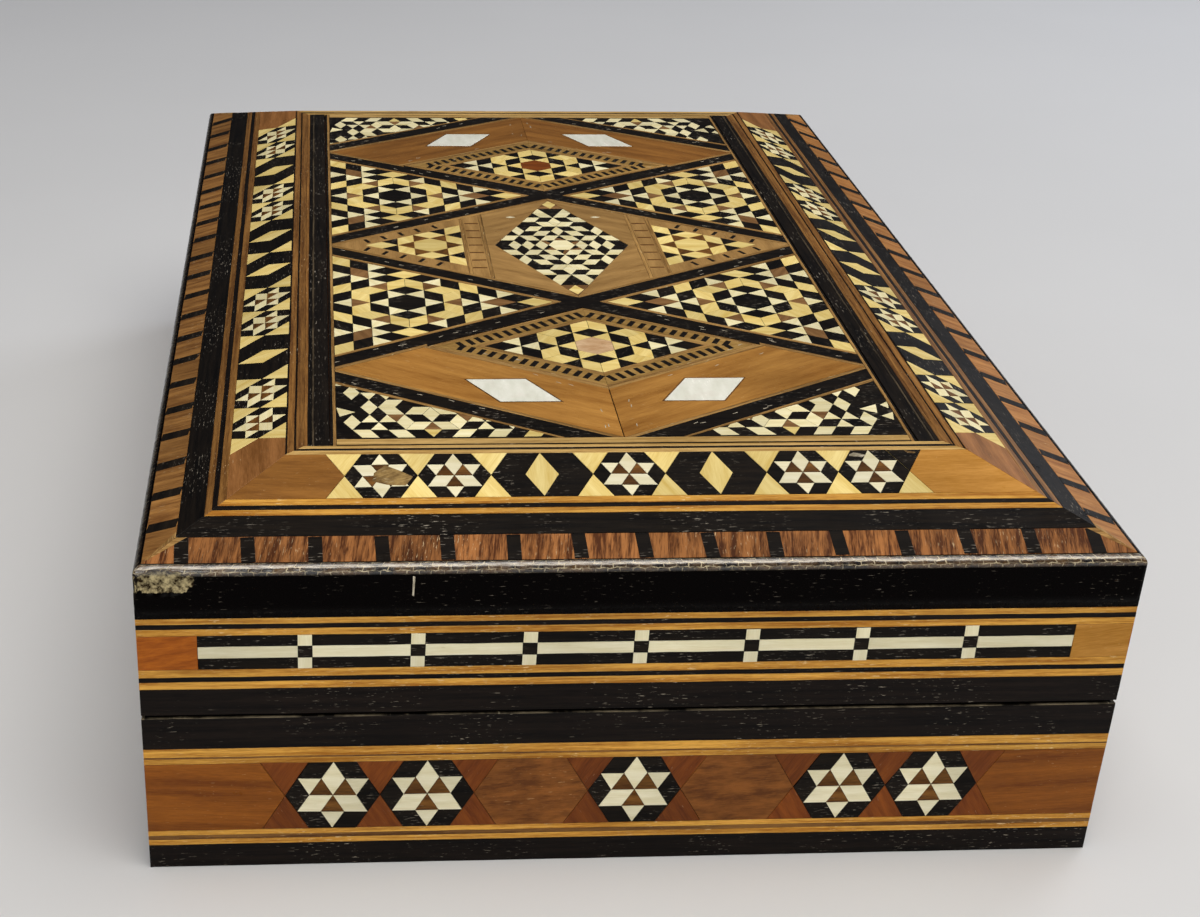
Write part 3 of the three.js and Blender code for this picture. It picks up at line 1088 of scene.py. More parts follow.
class MotifSetter:
    """Two Geometry Nodes trees that set small motifs of veneer: in a row, and on given points."""

    SPIN = "spin"
    SPOT_STRAY = (0.04 * MM, 0.03 * MM, 0.0)

    def __init__(self) -> None:
        """Build both trees."""
        self.row_tree = self._build_row()
        self.spot_tree = self._build_spots()

    @staticmethod
    def _start(name: str, **own: str) -> tuple[Bench, Any]:
        """Start a tree with its own inputs and those that both trees have.

        Args:
            name: The tree's name.
            own: The kind of each input that only this tree has.

        Returns:
            A bench on the tree, and the sockets of its inputs.
        """
        tree = bpy.data.node_groups.new(name, "GeometryNodeTree")
        tree.interface.new_socket("Geometry", in_out="OUTPUT", socket_type="NodeSocketGeometry")
        shared = {"Motif": "Object", "Finish": "Material", "Facing": "Vector"}
        kinds = {**own, **shared, "Stray": "Vector", "Seed": "Int"}
        for label, kind in kinds.items():
            tree.interface.new_socket(label, in_out="INPUT", socket_type=f"NodeSocket{kind}")
        bench = Bench(tree)
        return bench, bench.node("NodeGroupInput").outputs

    @staticmethod
    def _close(bench: Bench, given: Any, points: Any, spin: Any) -> bpy.types.NodeTree:
        """Set the motif on the points, each a little off its place, and end the tree.

        Args:
            bench: The tree's bench.
            given: The sockets of the tree's inputs.
            points: The points that the motif is set on.
            spin: The turn of each motif about the face's own normal.

        Returns:
            The tree.
        """
        motif = bench.node("GeometryNodeObjectInfo", {"Object": given["Motif"]}).outputs["Geometry"]
        inputs = {"Points": points, "Instance": motif, "Rotation": given["Facing"]}
        placed = bench.node("GeometryNodeInstanceOnPoints", inputs).outputs[0]
        turn = bench.node("ShaderNodeCombineXYZ", {"Z": spin}).outputs[0]
        spun = bench.node("GeometryNodeRotateInstances", {"Instances": placed, "Rotation": turn}).outputs[0]
        back = bench.multiple(given["Stray"], -1.0)
        inputs = {"Min": back, "Max": given["Stray"], "Seed": given["Seed"]}
        stray = bench.node("FunctionNodeRandomValue", inputs, data_type="FLOAT_VECTOR").outputs[0]
        inputs = {"Instances": spun, "Translation": stray}
        strayed = bench.node("GeometryNodeTranslateInstances", inputs).outputs[0]
        real = bench.node("GeometryNodeRealizeInstances", {"Geometry": strayed}).outputs[0]
        inputs = {"Geometry": real, "Material": given["Finish"]}
        dressed = bench.node("GeometryNodeSetMaterial", inputs).outputs[0]
        bench.fill(bench.node("NodeGroupOutput").inputs[0], dressed)
        return bench.tree

    def _build_row(self) -> bpy.types.NodeTree:
        """A row: so many motifs from a start, each a step on, straying a little by chance.

        Returns:
            The tree.
        """
        bench, given = self._start(
            "row_of_motifs", Count="Int", Start="Vector", Step="Vector", Lean="Float", Sway="Float"
        )
        inputs = {"Count": given["Count"], "Start Location": given["Start"], "Offset": given["Step"]}
        line = bench.node("GeometryNodeMeshLine", inputs, mode="OFFSET").outputs[0]
        low = bench.maths("SUBTRACT", given["Lean"], given["Sway"])
        inputs = {2: low, 3: bench.plus(given["Lean"], given["Sway"]), "Seed": given["Seed"]}
        spin = bench.node("FunctionNodeRandomValue", inputs, data_type="FLOAT").outputs[1]
        return self._close(bench, given, line, spin)

    def _build_spots(self) -> bpy.types.NodeTree:
        """Motifs on the points of the modified mesh, each turned by the point's own spin.

        Returns:
            The tree.
        """
        bench, given = self._start("motifs_on_spots", Spots="Geometry")
        spin = bench.node("GeometryNodeInputNamedAttribute", {"Name": self.SPIN}, data_type="FLOAT")
        return self._close(bench, given, given["Spots"], spin.outputs[0])

    @staticmethod
    def _set(
        layer: Veneer, motif: Motif, tree: bpy.types.NodeTree, spots: bpy.types.Mesh, own: dict[str, Any]
    ) -> None:
        """Run a tree on a carrier object, and take only the plain mesh into a layer.

        Args:
            layer: The layer.
            motif: The motif.
            tree: The tree.
            spots: The carrier's own mesh.
            own: The values of the seed and of the tree's own inputs.
        """
        scene = bpy.context.scene
        model = motif.build(own["Seed"])
        values = {"Motif": model, "Finish": motif.finish.material(), "Facing": layer.facet.turn, **own}
        carrier = bpy.data.objects.new("carrier", spots)
        for item in (carrier, model):
            scene.collection.objects.link(item)
        modifier = carrier.modifiers.new("motifs", "NODES")
        modifier.node_group = tree
        for socket in tree.interface.items_tree:
            if socket.in_out == "INPUT" and socket.name in values:
                modifier[socket.identifier] = values[socket.name]
        ready = carrier.evaluated_get(bpy.context.evaluated_depsgraph_get())
        made = bpy.data.meshes.new_from_object(ready)
        for item, mesh in ((carrier, spots), (model, model.data)):
            bpy.data.objects.remove(item)
            bpy.data.meshes.remove(mesh)
        layer.absorb(made, motif.finish)

    def set_row(self, layer: Veneer, motif: Motif, row: Row) -> None:
        """Set a row of motifs into a layer.

        Args:
            layer: The layer that takes them in.
            motif: The motif.
            row: Where the row runs.
        """
        face = layer.facet
        own = {
            "Count": row.count,
            "Start": face.place(*row.start),
            "Step": face.place(*row.step) - face.place(0, 0),
            "Lean": math.radians(row.lean),
            "Sway": math.radians(row.sway),
            "Stray": (row.stray * MM, row.stray * MM, 0.0),
            "Seed": row.seed,
        }
        self._set(layer, motif, self.row_tree, bpy.data.meshes.new("empty"), own)

    def set_spots(
        self, layer: Veneer, motif: Motif, spots: Sequence[tuple[float, float, float]], seed: int
    ) -> None:
        """Set motifs on given places of a layer.

        Args:
            layer: The layer that takes them in.
            motif: The motif.
            spots: Each motif's place on the face, and its turn in degrees.
            seed: The seed of the motifs' small strays.
        """
        carrier = bpy.data.meshes.new("spots")
        carrier.from_pydata([layer.facet.place(u, v) for u, v, _ in spots], [], [])
        turns = carrier.attributes.new(self.SPIN, "FLOAT", "POINT")
        turns.data.foreach_set("value", [math.radians(turn) for _, _, turn in spots])
        self._set(layer, motif, self.spot_tree, carrier, {"Stray": self.SPOT_STRAY, "Seed": seed})


@dataclass(frozen=True)
class StarBand:
    """A row of six-pointed stars and long hexagons between two pointed end blocks.

    Attributes:
        layer: The layer that takes the pieces in.
        window: The outline that holds the whole band.
        order: The row, with S for a star and L for a long hexagon.
        star_half: Half a star's width, from point to point.
        long_half: Half a long hexagon's width.
        shift: How far the row lies off the middle of the side.
    """

    layer: Veneer
    window: Outline
    order: str
    star_half: float
    long_half: float
    shift: float = 0.0

    TURN_SEED = 7
    STAR_SWAY = 1.5

    @property
    def axis(self) -> float:
        """The height of the band's middle on the face."""
        return (self.window[0][1] + self.window[2][1]) / 2

    @property
    def half_height(self) -> float:
        """Half the band's height."""
        return (self.window[2][1] - self.window[0][1]) / 2

    def places(self) -> tuple[list[float], list[float], list[float]]:
        """Where the stars, the long hexagons and the touching points of their row are.

        Returns:
            The middles of the stars, those of the long hexagons, and the points where two of them meet.
        """
        halves = [self.star_half if mark == "S" else self.long_half for mark in self.order]
        at = self.shift - sum(halves)
        stars, longs, meets = [], [], [at]
        for mark, half in zip(self.order, halves):
            (stars if mark == "S" else longs).append(at + half)
            at += 2 * half
            meets.append(at)
        return stars, longs, meets

    def star(self) -> tuple[list[Outline], list[Outline], list[Outline]]:
        """Draw one star about its own middle.

        Returns:
            The outlines of the dark rhombi round it, of its pale points and of its brown triangles.
        """
        wide, tall = self.star_half / 2, self.half_height / ROOT3

        def spoke(angle: float, length: float) -> Point:
            """A place at an angle and a distance in units of half a star."""
            turn = math.radians(angle)
            return (math.cos(turn) * length * wide, math.sin(turn) * length * tall)

        rhombi, points, inner = [], [], []
        for k in range(6):
            turn = 60.0 * k
            rhombi.append([spoke(turn, 1), spoke(turn - 30, ROOT3), spoke(turn, 2), spoke(turn + 30, ROOT3)])
            tip, left, right = spoke(turn + 30, ROOT3), spoke(turn + 60, 1), spoke(turn, 1)
            if k % 2:
                points.append([right, tip, left])
                inner.append([(0.0, 0.0), right, left])
            else:
                points.append([(0.0, 0.0), right, tip, left])
        return rhombi, points, inner

    def lay_fillings(self, filling: Surface) -> None:
        """Lay the triangles between the stars.

        Args:
            filling: The triangles' finish.
        """
        half, axis = self.star_half / 2, self.axis
        for meet in self.places()[2]:
            for way in (1, -1):
                base = axis + way * self.half_height
                triangle = [(meet, axis), (meet + half, base), (meet - half, base)]
                self.layer.lay_inside(self.window, triangle, filling, grain=60.0 * way)

    def lay_ends(self, left: Surface, right: Surface) -> None:
        """Lay the pointed block at each end of the band.

        Args:
            left: The finish of the left block.
            right: The finish of the right block.
        """
        meets, tall, axis = self.places()[2], self.half_height, self.axis
        for way, meet, block in ((-1, meets[0], left), (1, meets[-1], right)):
            near, far = meet + way * self.star_half / 2, way * self.window[1][0]
            outline = [(far, axis - tall), (near, axis - tall), (meet, axis), (near, axis + tall),
                       (far, axis + tall)]
            self.layer.lay_inside(self.window, outline, block, grain=3.0 * way)

    def lay_stars(self, setter: MotifSetter, finishes: Sequence[Surface]) -> None:
        """Set the stars, each turned half round or not by chance.

        Args:
            setter: The trees that set motifs.
            finishes: The finishes of the rhombi, of the points and of the inner triangles.
        """
        seed, sway = self.layer.seed, self.STAR_SWAY
        dice = random.Random(seed + self.TURN_SEED)
        spots = []
        for at in self.places()[0]:
            spots.append((at, self.axis, dice.choice((0.0, 180.0)) + dice.uniform(-sway, sway)))
        for outlines, finish in zip(self.star(), finishes):
            setter.set_spots(self.layer, Motif(outlines, finish, lift=0.0), spots, seed)

    def long_outline(self, centre: float) -> Outline:
        """The outline of a long hexagon."""
        wide, tall, axis = self.long_half, self.half_height, self.axis
        short = wide - self.star_half / 2
        half = [(-wide, 0.0), (-short, -tall), (short, -tall)]
        return [(centre + u * way, axis + v * way) for way in (1, -1) for u, v in half]


@dataclass
class Carcass:
    """The plain wooden tray and lid under the veneer, which stay as the frame has them.

    Attributes:
        wood: The finish of both.
    """

    wood: Surface = WALNUT

    def dress(self) -> None:
        """Give both pieces their wood."""
        for node in ("base_carcass", "lid_carcass"):
            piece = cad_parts[node]
            piece.data.materials.clear()
            piece.data.materials.append(self.wood.material())
            log.info("%s: dressed", node)


@dataclass
class Skin:
    """What the veneered sub-assemblies share.

    Attributes:
        sizes: The sizes of the box.
        setter: The trees that set motifs.
    """

    sizes: BoxSizes
    setter: MotifSetter

    def start(self, node: str, facet: Facet, seed: int, waver: float = 0.05) -> Veneer:
        """Start the layer of a node on its sunk ground.

        Args:
            node: The node that the layer stands for.
            facet: The face that its pieces lie on.
            seed: The seed of the small differences between them.
            waver: How far a hand-cut edge strays, in millimetres.

        Returns:
            The layer.
        """
        layer = Veneer(node, facet, seed, waver)
        layer.absorb_ground(GLUE, [facet])
        return layer


@dataclass
class BaseSkin(Skin):
    """The four sides of the base: a band of stars between strings and ebony.

    Attributes:
        string, double_string: The strings under and over the band, each up to its upper edge.
        star_half, long_half: Half the width of a star and of a long hexagon.
        front_shift: How far the front's row of stars lies off the middle.
        foot_gap, seam_gap: What the ebony leaves free at the foot and at the seam.
        worn_edge, worn_sink: The height and the depth of the pale worn line along the upper edge.
    """

    string: tuple[float, float, float] = (0.75, 1.3, 2.0)
    double_string: tuple[float, float, float] = (0.75, 0.95, 2.1)
    star_half: float = 5.37
    long_half: float = 6.55
    front_shift: float = 0.6
    foot_gap: float = 0.02
    worn_edge: float = 0.22
    seam_gap: float = 0.05
    worn_sink: float = 0.03

    def build(self) -> None:
        """Lay the three strips of each side."""
        for side in Side:
            self._ebony(side, True)
            self._ebony(side, False)
            self._band(side)

    def _ebony(self, side: Side, is_low: bool) -> None:
        """Lay one ebony strip, the upper one pale along its worn edge where it meets the lid.

        Args:
            side: The side of the base.
            is_low: Whether it is the strip along the foot.
        """
        node = f"base_{side.word}_ebony_{'low' if is_low else 'high'}"
        low, high = reach_of(node, 2)
        foot, top = (self.foot_gap, high) if is_low else (low, high - self.worn_edge)
        seed = Seed.BASE_EBONY + side.value + 4 * is_low
        layer = self.start(node, self.sizes.wall(side), seed, STEADY_WAVER)
        layer.lay(self.sizes.level_strip(side, foot, top), SIDE_EBONY, step=STRIP_STEP)
        if not is_low:
            worn = self.sizes.level_strip(side, top, high - self.seam_gap)
            layer.lay(worn, WORN_LINE, lift=-self.worn_sink, step=2.0)
        layer.finish_piece()

    def _band(self, side: Side) -> None:
        """Lay the band of stars with its strings.

        Args:
            side: The side of the base.
        """
        node = f"base_{side.word}_star_band"
        low, high = reach_of(node, 2)
        foot, head = low + self.string[-1], high - self.double_string[-1]
        layer = self.start(node, self.sizes.wall(side), Seed.BASE_STARS + side.value)
        window = self.sizes.level_strip(side, foot, head)
        order = "SSLSLSS" if side.is_short else "SSLSLSLSLSS"
        shift = self.front_shift if side is Side.FRONT else 0.0
        band = StarBand(layer, window, order, self.star_half, self.long_half, shift)
        band.lay_ends(BAND_HONEY, BAND_HONEY)
        band.lay_fillings(RED_BROWN)
        for centre in band.places()[1]:
            layer.lay(band.long_outline(centre), LONG_BROWN, grain=4.0)
        band.lay_stars(self.setter, (EBONY, BONE, STAR_BROWN))
        strip = partial(self.sizes.level_strip, side)
        for start, widths in ((low, self.string), (head, self.double_string)):
            layer.lay_strings(start, widths, (TAN, STRING_BROWN, TAN), strip)
        layer.finish_piece()


@dataclass
class LidSkin(Skin):
    """The four sides of the lid: a line of bone between strings and ebony, and a rim worn round.

    Attributes:
        strings, upper_strings: The strings under and over the bone line, each up to its upper edge.
        seam_gap: The height that the lowest ebony leaves free at the seam.
        end_block: The length of the orange block at each end.
        bone_height: The height of the bone line.
        cross_width, cross_pitch: The width of the blocks that cross it, and their wished distance.
        rim, rim_step: The radius of the worn rim, and the distance from one section of it to the next.
        stations: Where the section's points are between its foot and the rim's round, from 0 to 1.
        arc_steps: Into how many parts that round is cut.
        wear_height, wear_blend: The height from which the edge is worn, and over which the wear sets in.
        side_wear: How worn the other three sides are, where the front is one.
        chip_centre, chip_half, chip_depth: The chip's middle, half its length and height, and its depth.
        scratch: The outline of the pale scratch below the rim.
    """

    strings: tuple[float, float, float] = (0.95, 1.55, 2.55)
    upper_strings: tuple[float, float, float] = (0.85, 1.45, 2.2)
    seam_gap: float = 0.05
    end_block: float = 6.5
    bone_height: float = 1.5
    cross_width: float = 1.6
    cross_pitch: float = 12.28
    rim: float = 0.9
    rim_step: float = 0.35
    stations: tuple[float, ...] = (0.0, 0.3, 0.45, 0.56, 0.66, 0.76, 0.85, 0.93)
    arc_steps: int = 8
    wear_height: float = 38.8
    wear_blend: float = 0.5
    side_wear: float = 0.4
    chip_centre: Point = (-51.9, 38.25)
    chip_half: Point = (3.7, 1.5)
    chip_depth: float = 0.75
    scratch: tuple[Point, ...] = ((-25.3, 36.3), (-25.1, 36.2), (-24.95, 38.7), (-25.25, 38.8))

    CHIP_ROUND_CORNER = 1.6
    CHIP_RAGGED = 0.5
    CHIP_STEEP = 2.2
    CHIP_DROP = 0.25

    def build(self) -> None:
        """Lay the three strips of each side."""
        for side in Side:
            self._ebony(side)
            self._band(side)
            self._edge(side)

    def _ebony(self, side: Side) -> None:
        """Lay the ebony strip along the seam.

        Args:
            side: The side of the lid.
        """
        node = f"lid_{side.word}_ebony_low"
        low, high = reach_of(node, 2)
        layer = self.start(node, self.sizes.wall(side), Seed.LID_EBONY + side.value, STEADY_WAVER)
        strip = self.sizes.level_strip(side, low + self.seam_gap, high)
        layer.lay(strip, SIDE_EBONY, step=STRIP_STEP)
        layer.finish_piece()

    def _band(self, side: Side) -> None:
        """Lay the crossed line of bone with its strings and end blocks.

        Args:
            side: The side of the lid.
        """
        node = f"lid_{side.word}_bone_band"
        low, high = reach_of(node, 2)
        reach, foot, head = self.sizes.reach(side), low + self.strings[-1], high - self.upper_strings[-1]
        layer = self.start(node, self.sizes.wall(side), Seed.BONE_BAND + side.value)
        axis, half, inner = (foot + head) / 2, self.bone_height / 2, reach - self.end_block
        for way, wood in ((-1, ORANGE_WOOD), (1, AMBER)):
            layer.lay(rectangle(way * inner, way * reach, foot, head), wood, grain=8.0)
        layer.lay(rectangle(-inner, inner, foot, axis - half), EBONY, step=STRIP_STEP)
        layer.lay(rectangle(-inner, inner, axis + half, head), EBONY, step=STRIP_STEP)
        crossings = 2 * round(inner / self.cross_pitch) - 1
        pitch = self.cross_pitch if side.is_short else inner / ((crossings + 1) / 2)
        first, cross = -pitch * (crossings - 1) / 2, self.cross_width / 2
        stops = [first + pitch * k + way * cross for k in range(crossings) for way in (-1, 1)]
        stops = [-inner, *stops, inner]
        for start, end in zip(stops[::2], stops[1::2]):
            layer.lay(rectangle(start, end, axis - half, axis + half), BONE, step=STRIP_STEP)
        tall = (head - foot) / 2
        row = Row((first, axis), (pitch, 0), crossings, 0.0, 1.2, 0.05, layer.seed)
        self.setter.set_row(layer, Motif([bar(self.cross_width, self.bone_height)], EBONY), row)
        blocks = [rectangle(-cross, cross, half, tall), rectangle(-cross, cross, -tall, -half)]
        self.setter.set_row(layer, Motif(blocks, BONE, 90.0), row)
        strip = partial(self.sizes.level_strip, side)
        for start, widths in ((low, self.strings), (head, self.upper_strings)):
            layer.lay_strings(start, widths, (TAN, SIDE_EBONY, TAN), strip)
        layer.finish_piece()

    def _section(self, low: float) -> list[Point]:
        """Draw the edge's section, as insets and heights.

        Args:
            low: The height of its foot.

        Returns:
            The points from the foot up over the worn rim and down the back.
        """
        edge, slope, radius = self.sizes.edge_z, self.sizes.slope, self.rim
        turn = math.pi / 2 - slope
        start = edge - radius * math.tan(turn / 2)
        section = [(0.0, low + (start - low) * share) for share in self.stations]
        for k in range(self.arc_steps + 1):
            angle = turn * k / self.arc_steps
            section.append((radius * (1 - math.cos(angle)), start + radius * math.sin(angle)))
        back = self.sizes.block_inset
        return section + [(back, edge + back * math.tan(slope)), (back, low)]

    def _chip(self, side: Side, u: float, z: float) -> float:
        """Find how deep the chip at the front left corner is, which runs round it onto the left side.

        Args:
            side: The side of the lid.
            u: The place along that side.
            z: The height.

        Returns:
            The depth, from 0 to 1.
        """
        if side is Side.LEFT:
            u = -self.sizes.half_width - (self.sizes.half_length - u) * self.CHIP_ROUND_CORNER
        elif side is not Side.FRONT:
            return 0.0
        across = (u - self.chip_centre[0]) / self.chip_half[0]
        upright = (z - self.chip_centre[1]) / self.chip_half[1]
        ragged = 1 + self.CHIP_RAGGED * noise.noise(Vector((u * 1.3, z * 1.3, 4.0)))
        return max(0.0, min(1.0, (ragged - across ** 2 - upright ** 2) * self.CHIP_STEEP))

    def _wear(self, side: Side, z: float) -> float:
        """How worn the edge is at a height, from 0 to 1."""
        full = 1.0 if side is Side.FRONT else self.side_wear
        return min(1.0, max(0.0, (z - self.wear_height) / self.wear_blend)) * full

    def _lay_points(
        self, layer: Veneer, side: Side, section: list[Point], steps: int
    ) -> dict[str, list[float]]:
        """Add the points of the edge, dented where it is worn and sunk where it is chipped.

        Args:
            layer: The layer that takes them in.
            side: The side of the lid.
            section: The edge's section.
            steps: Into how many steps the side is parted.

        Returns:
            The wear and the bareness of each point, by the names that the rim's finish reads.
        """
        carried: dict[str, list[float]] = {RIM.WEAR: [], RIM.BARE: []}
        reach = self.sizes.reach(side)
        for step in range(steps + 1):
            for row, (inset, z) in enumerate(section):
                u = (2 * step / steps - 1) * (reach - inset)
                is_shown = row < len(section) - 2
                chip, wear = self._chip(side, u, z) * is_shown, self._wear(side, z) * is_shown
                dent = 0.09 * noise.noise(Vector((u * 0.45, z * 0.8, side.value * 9.0)))
                dent += 0.05 * noise.noise(Vector((u * 1.9, z * 1.9, side.value * 5.0)))
                rough = 0.6 + 0.7 * noise.noise(Vector((u * 2.4, z * 2.4, 1.0)))
                depth = inset + max(0.0, dent) * wear + chip * self.chip_depth * rough
                layer.points.append(layer.facet.place(u, z - self.CHIP_DROP * chip * rough, -depth))
                carried[RIM.WEAR].append(wear)
                carried[RIM.BARE].append(chip)
        return carried

    def _lay_faces(self, layer: Veneer, reach: float, section: list[Point], steps: int) -> None:
        """Add the faces of the edge round and along it, and its two ends.

        Args:
            layer: The layer that holds the points.
            reach: Half the length of the side.
            section: The edge's section.
            steps: Into how many steps the side is parted.
        """
        rows = len(section)
        lengths = [0.0]
        for before, after in zip(section, section[1:]):
            lengths.append(lengths[-1] + math.dist(before, after))
        lengths.append(lengths[-1] + self.sizes.block_inset)
        for step in range(steps):
            left, right = ((2 * s / steps - 1) * reach for s in (step, step + 1))
            for row in range(rows):
                a, b = step * rows + row, (step + 1) * rows + row
                c, d = step * rows + (row + 1) % rows, (step + 1) * rows + (row + 1) % rows
                foot, head = lengths[row], lengths[row + 1]
                flat = ((left, foot), (right, foot), (right, head), (left, head))
                layer.add_face((a, b, d, c), flat, RIM if row < rows - 2 else GLUE, layer.MEAN_TONE)
        for start, way in ((0, 1), (steps * rows, -1)):
            ring = [start + row for row in range(rows)][::way]
            layer.add_face(ring, ((0.0, 0.0),) * rows, GLUE, layer.MEAN_TONE)

    def _edge(self, side: Side) -> None:
        """Build the uppermost ebony with its worn rim, dented along its length, and the chipped corner.

        Args:
            side: The side of the lid.
        """
        node = f"lid_{side.word}_ebony_edge"
        section = self._section(reach_of(node, 2)[0] + FINE_JOINT)
        layer = Veneer(node, self.sizes.wall(side), Seed.RIM + side.value)
        reach, rows = self.sizes.reach(side), len(section)
        steps = round(reach * 2 / self.rim_step)
        carried = self._lay_points(layer, side, section, steps)
        own_points = len(layer.points)
        self._lay_faces(layer, reach, section, steps)
        if side is Side.FRONT:
            layer.lay(self.scratch, SCRATCH, 90.0, 0.01, joint=0.0)
        piece = layer.finish_piece()
        spare = [0.0] * (len(layer.points) - own_points)
        for name, values in carried.items():
            worn = piece.data.attributes.new(name, "FLOAT", "POINT")
            worn.data.foreach_set("value", values + spare)
        for polygon in piece.data.polygons[:steps * rows]:
            polygon.use_smooth = polygon.index % rows < rows - 3


def rails(outline: Outline, width: float, window: Outline, skipped: Sequence[int] = ()) -> list[Outline]:
    """The mitred strips round the outside of a plate.

    Args:
        outline: The plate's outline, anticlockwise.
        width: The strips' width.
        window: The outline that holds them all.
        skipped: The numbers of the edges that have no strip.

    Returns:
        The strips' outlines.
    """
    outer = grown(outline, width)
    made = []
    for index in range(len(outline)):
        after = (index + 1) % len(outline)
        if index not in skipped:
            strip = [outline[index], outer[index], outer[after], outline[after]]
            made.append(clipped(anticlockwise(strip), window))
    return [strip for strip in made if len(strip) > 2]


@dataclass(frozen=True)
class Mosaic:
    """A mosaic cut from equal triangles, whose tiles are named by their corners on the lattice.

    Attributes:
        layer: The layer that takes the tiles in.
        window: The convex outline that the tiles are cut to.
        origin: The lattice's zero point on the face.
        unit: The side of one triangle.
        upright: Whether the triangles stand in upright columns, and not in level rows.
        stretch: How much taller than wide the lattice is.
        flip: Minus one where the pattern is mirrored left to right.
        rise: Minus one where the pattern is mirrored top to bottom.
        lift: How far the tiles stand proud.
    """

    layer: Veneer
    window: Outline
    origin: Point
    unit: float
    upright: bool = True
    stretch: float = 1.0
    flip: int = 1
    rise: int = 1
    lift: float = 0.0

    def _place(self, corner: Point, turn: float) -> Point:
        """The place on the face of a corner of the lattice, turned about the zero point."""
        wide, tall = (ROOT3 / 2, 1.0) if self.upright else (1.0, ROOT3 / 2)
        u, v = corner[0] * wide * self.unit, corner[1] * tall * self.unit
        cos, sin = math.cos(turn), math.sin(turn)
        u, v = u * cos - v * sin, (u * sin + v * cos) * self.stretch
        return (self.origin[0] + u * self.flip, self.origin[1] + v * self.rise)

    def tile(
        self, finish: Surface, corners: str, turns: int = 1, along: bool = False, across: bool = False
    ) -> None:
        """Lay a tile, all its turns about the zero point and its mirror images.

        Args:
            finish: The tile's finish.
            corners: Its corners as "column,row" in order, with a space between.
            turns: Into how many equal turns the full circle is parted.
            along: Whether it is also mirrored left to right.
            across: Whether it is also mirrored top to bottom.
        """
        outline = [tuple(float(number) for number in corner.split(",")) for corner in corners.split()]
        images = {tuple(outline)}
        if along:
            images |= {tuple((-u, v) for u, v in image) for image in images}
        if across:
            images |= {tuple((u, -v) for u, v in image) for image in images}
        for image in sorted(images):
            for k in range(turns):
                placed = [self._place(corner, 2 * math.pi * k / turns) for corner in image]
                self.layer.lay_inside(self.window, placed, finish, grain=60.0 * k, lift=self.lift)

    def tiles(self, finish: Surface, *corners: str, **more: Any) -> None:
        """Lay several tiles of one finish, all turned and mirrored in the same way."""
        for outline in corners:
            self.tile(finish, outline, **more)

    def ground(self, finish: Surface, grain: float = 0.0) -> None:
        """Lay the plain piece that shows between the tiles."""
        self.layer.lay(self.window, finish, grain, -CHAMFER)

    def hexagon(self, finish: Surface) -> None:
        """Lay the hexagon about the zero point."""
        self.tile(finish, "0,1 -1,.5 -1,-.5 0,-1 1,-.5 1,.5")

    def star(self, points: Surface, between: Surface) -> None:
        """Lay the six points of a star round the hexagon, and the rhombi between them."""
        self.tile(points, "1,.5 1,-.5 2,0", 6)
        self.tile(between, "0,1 1,1.5 0,2 -1,1.5", 6)


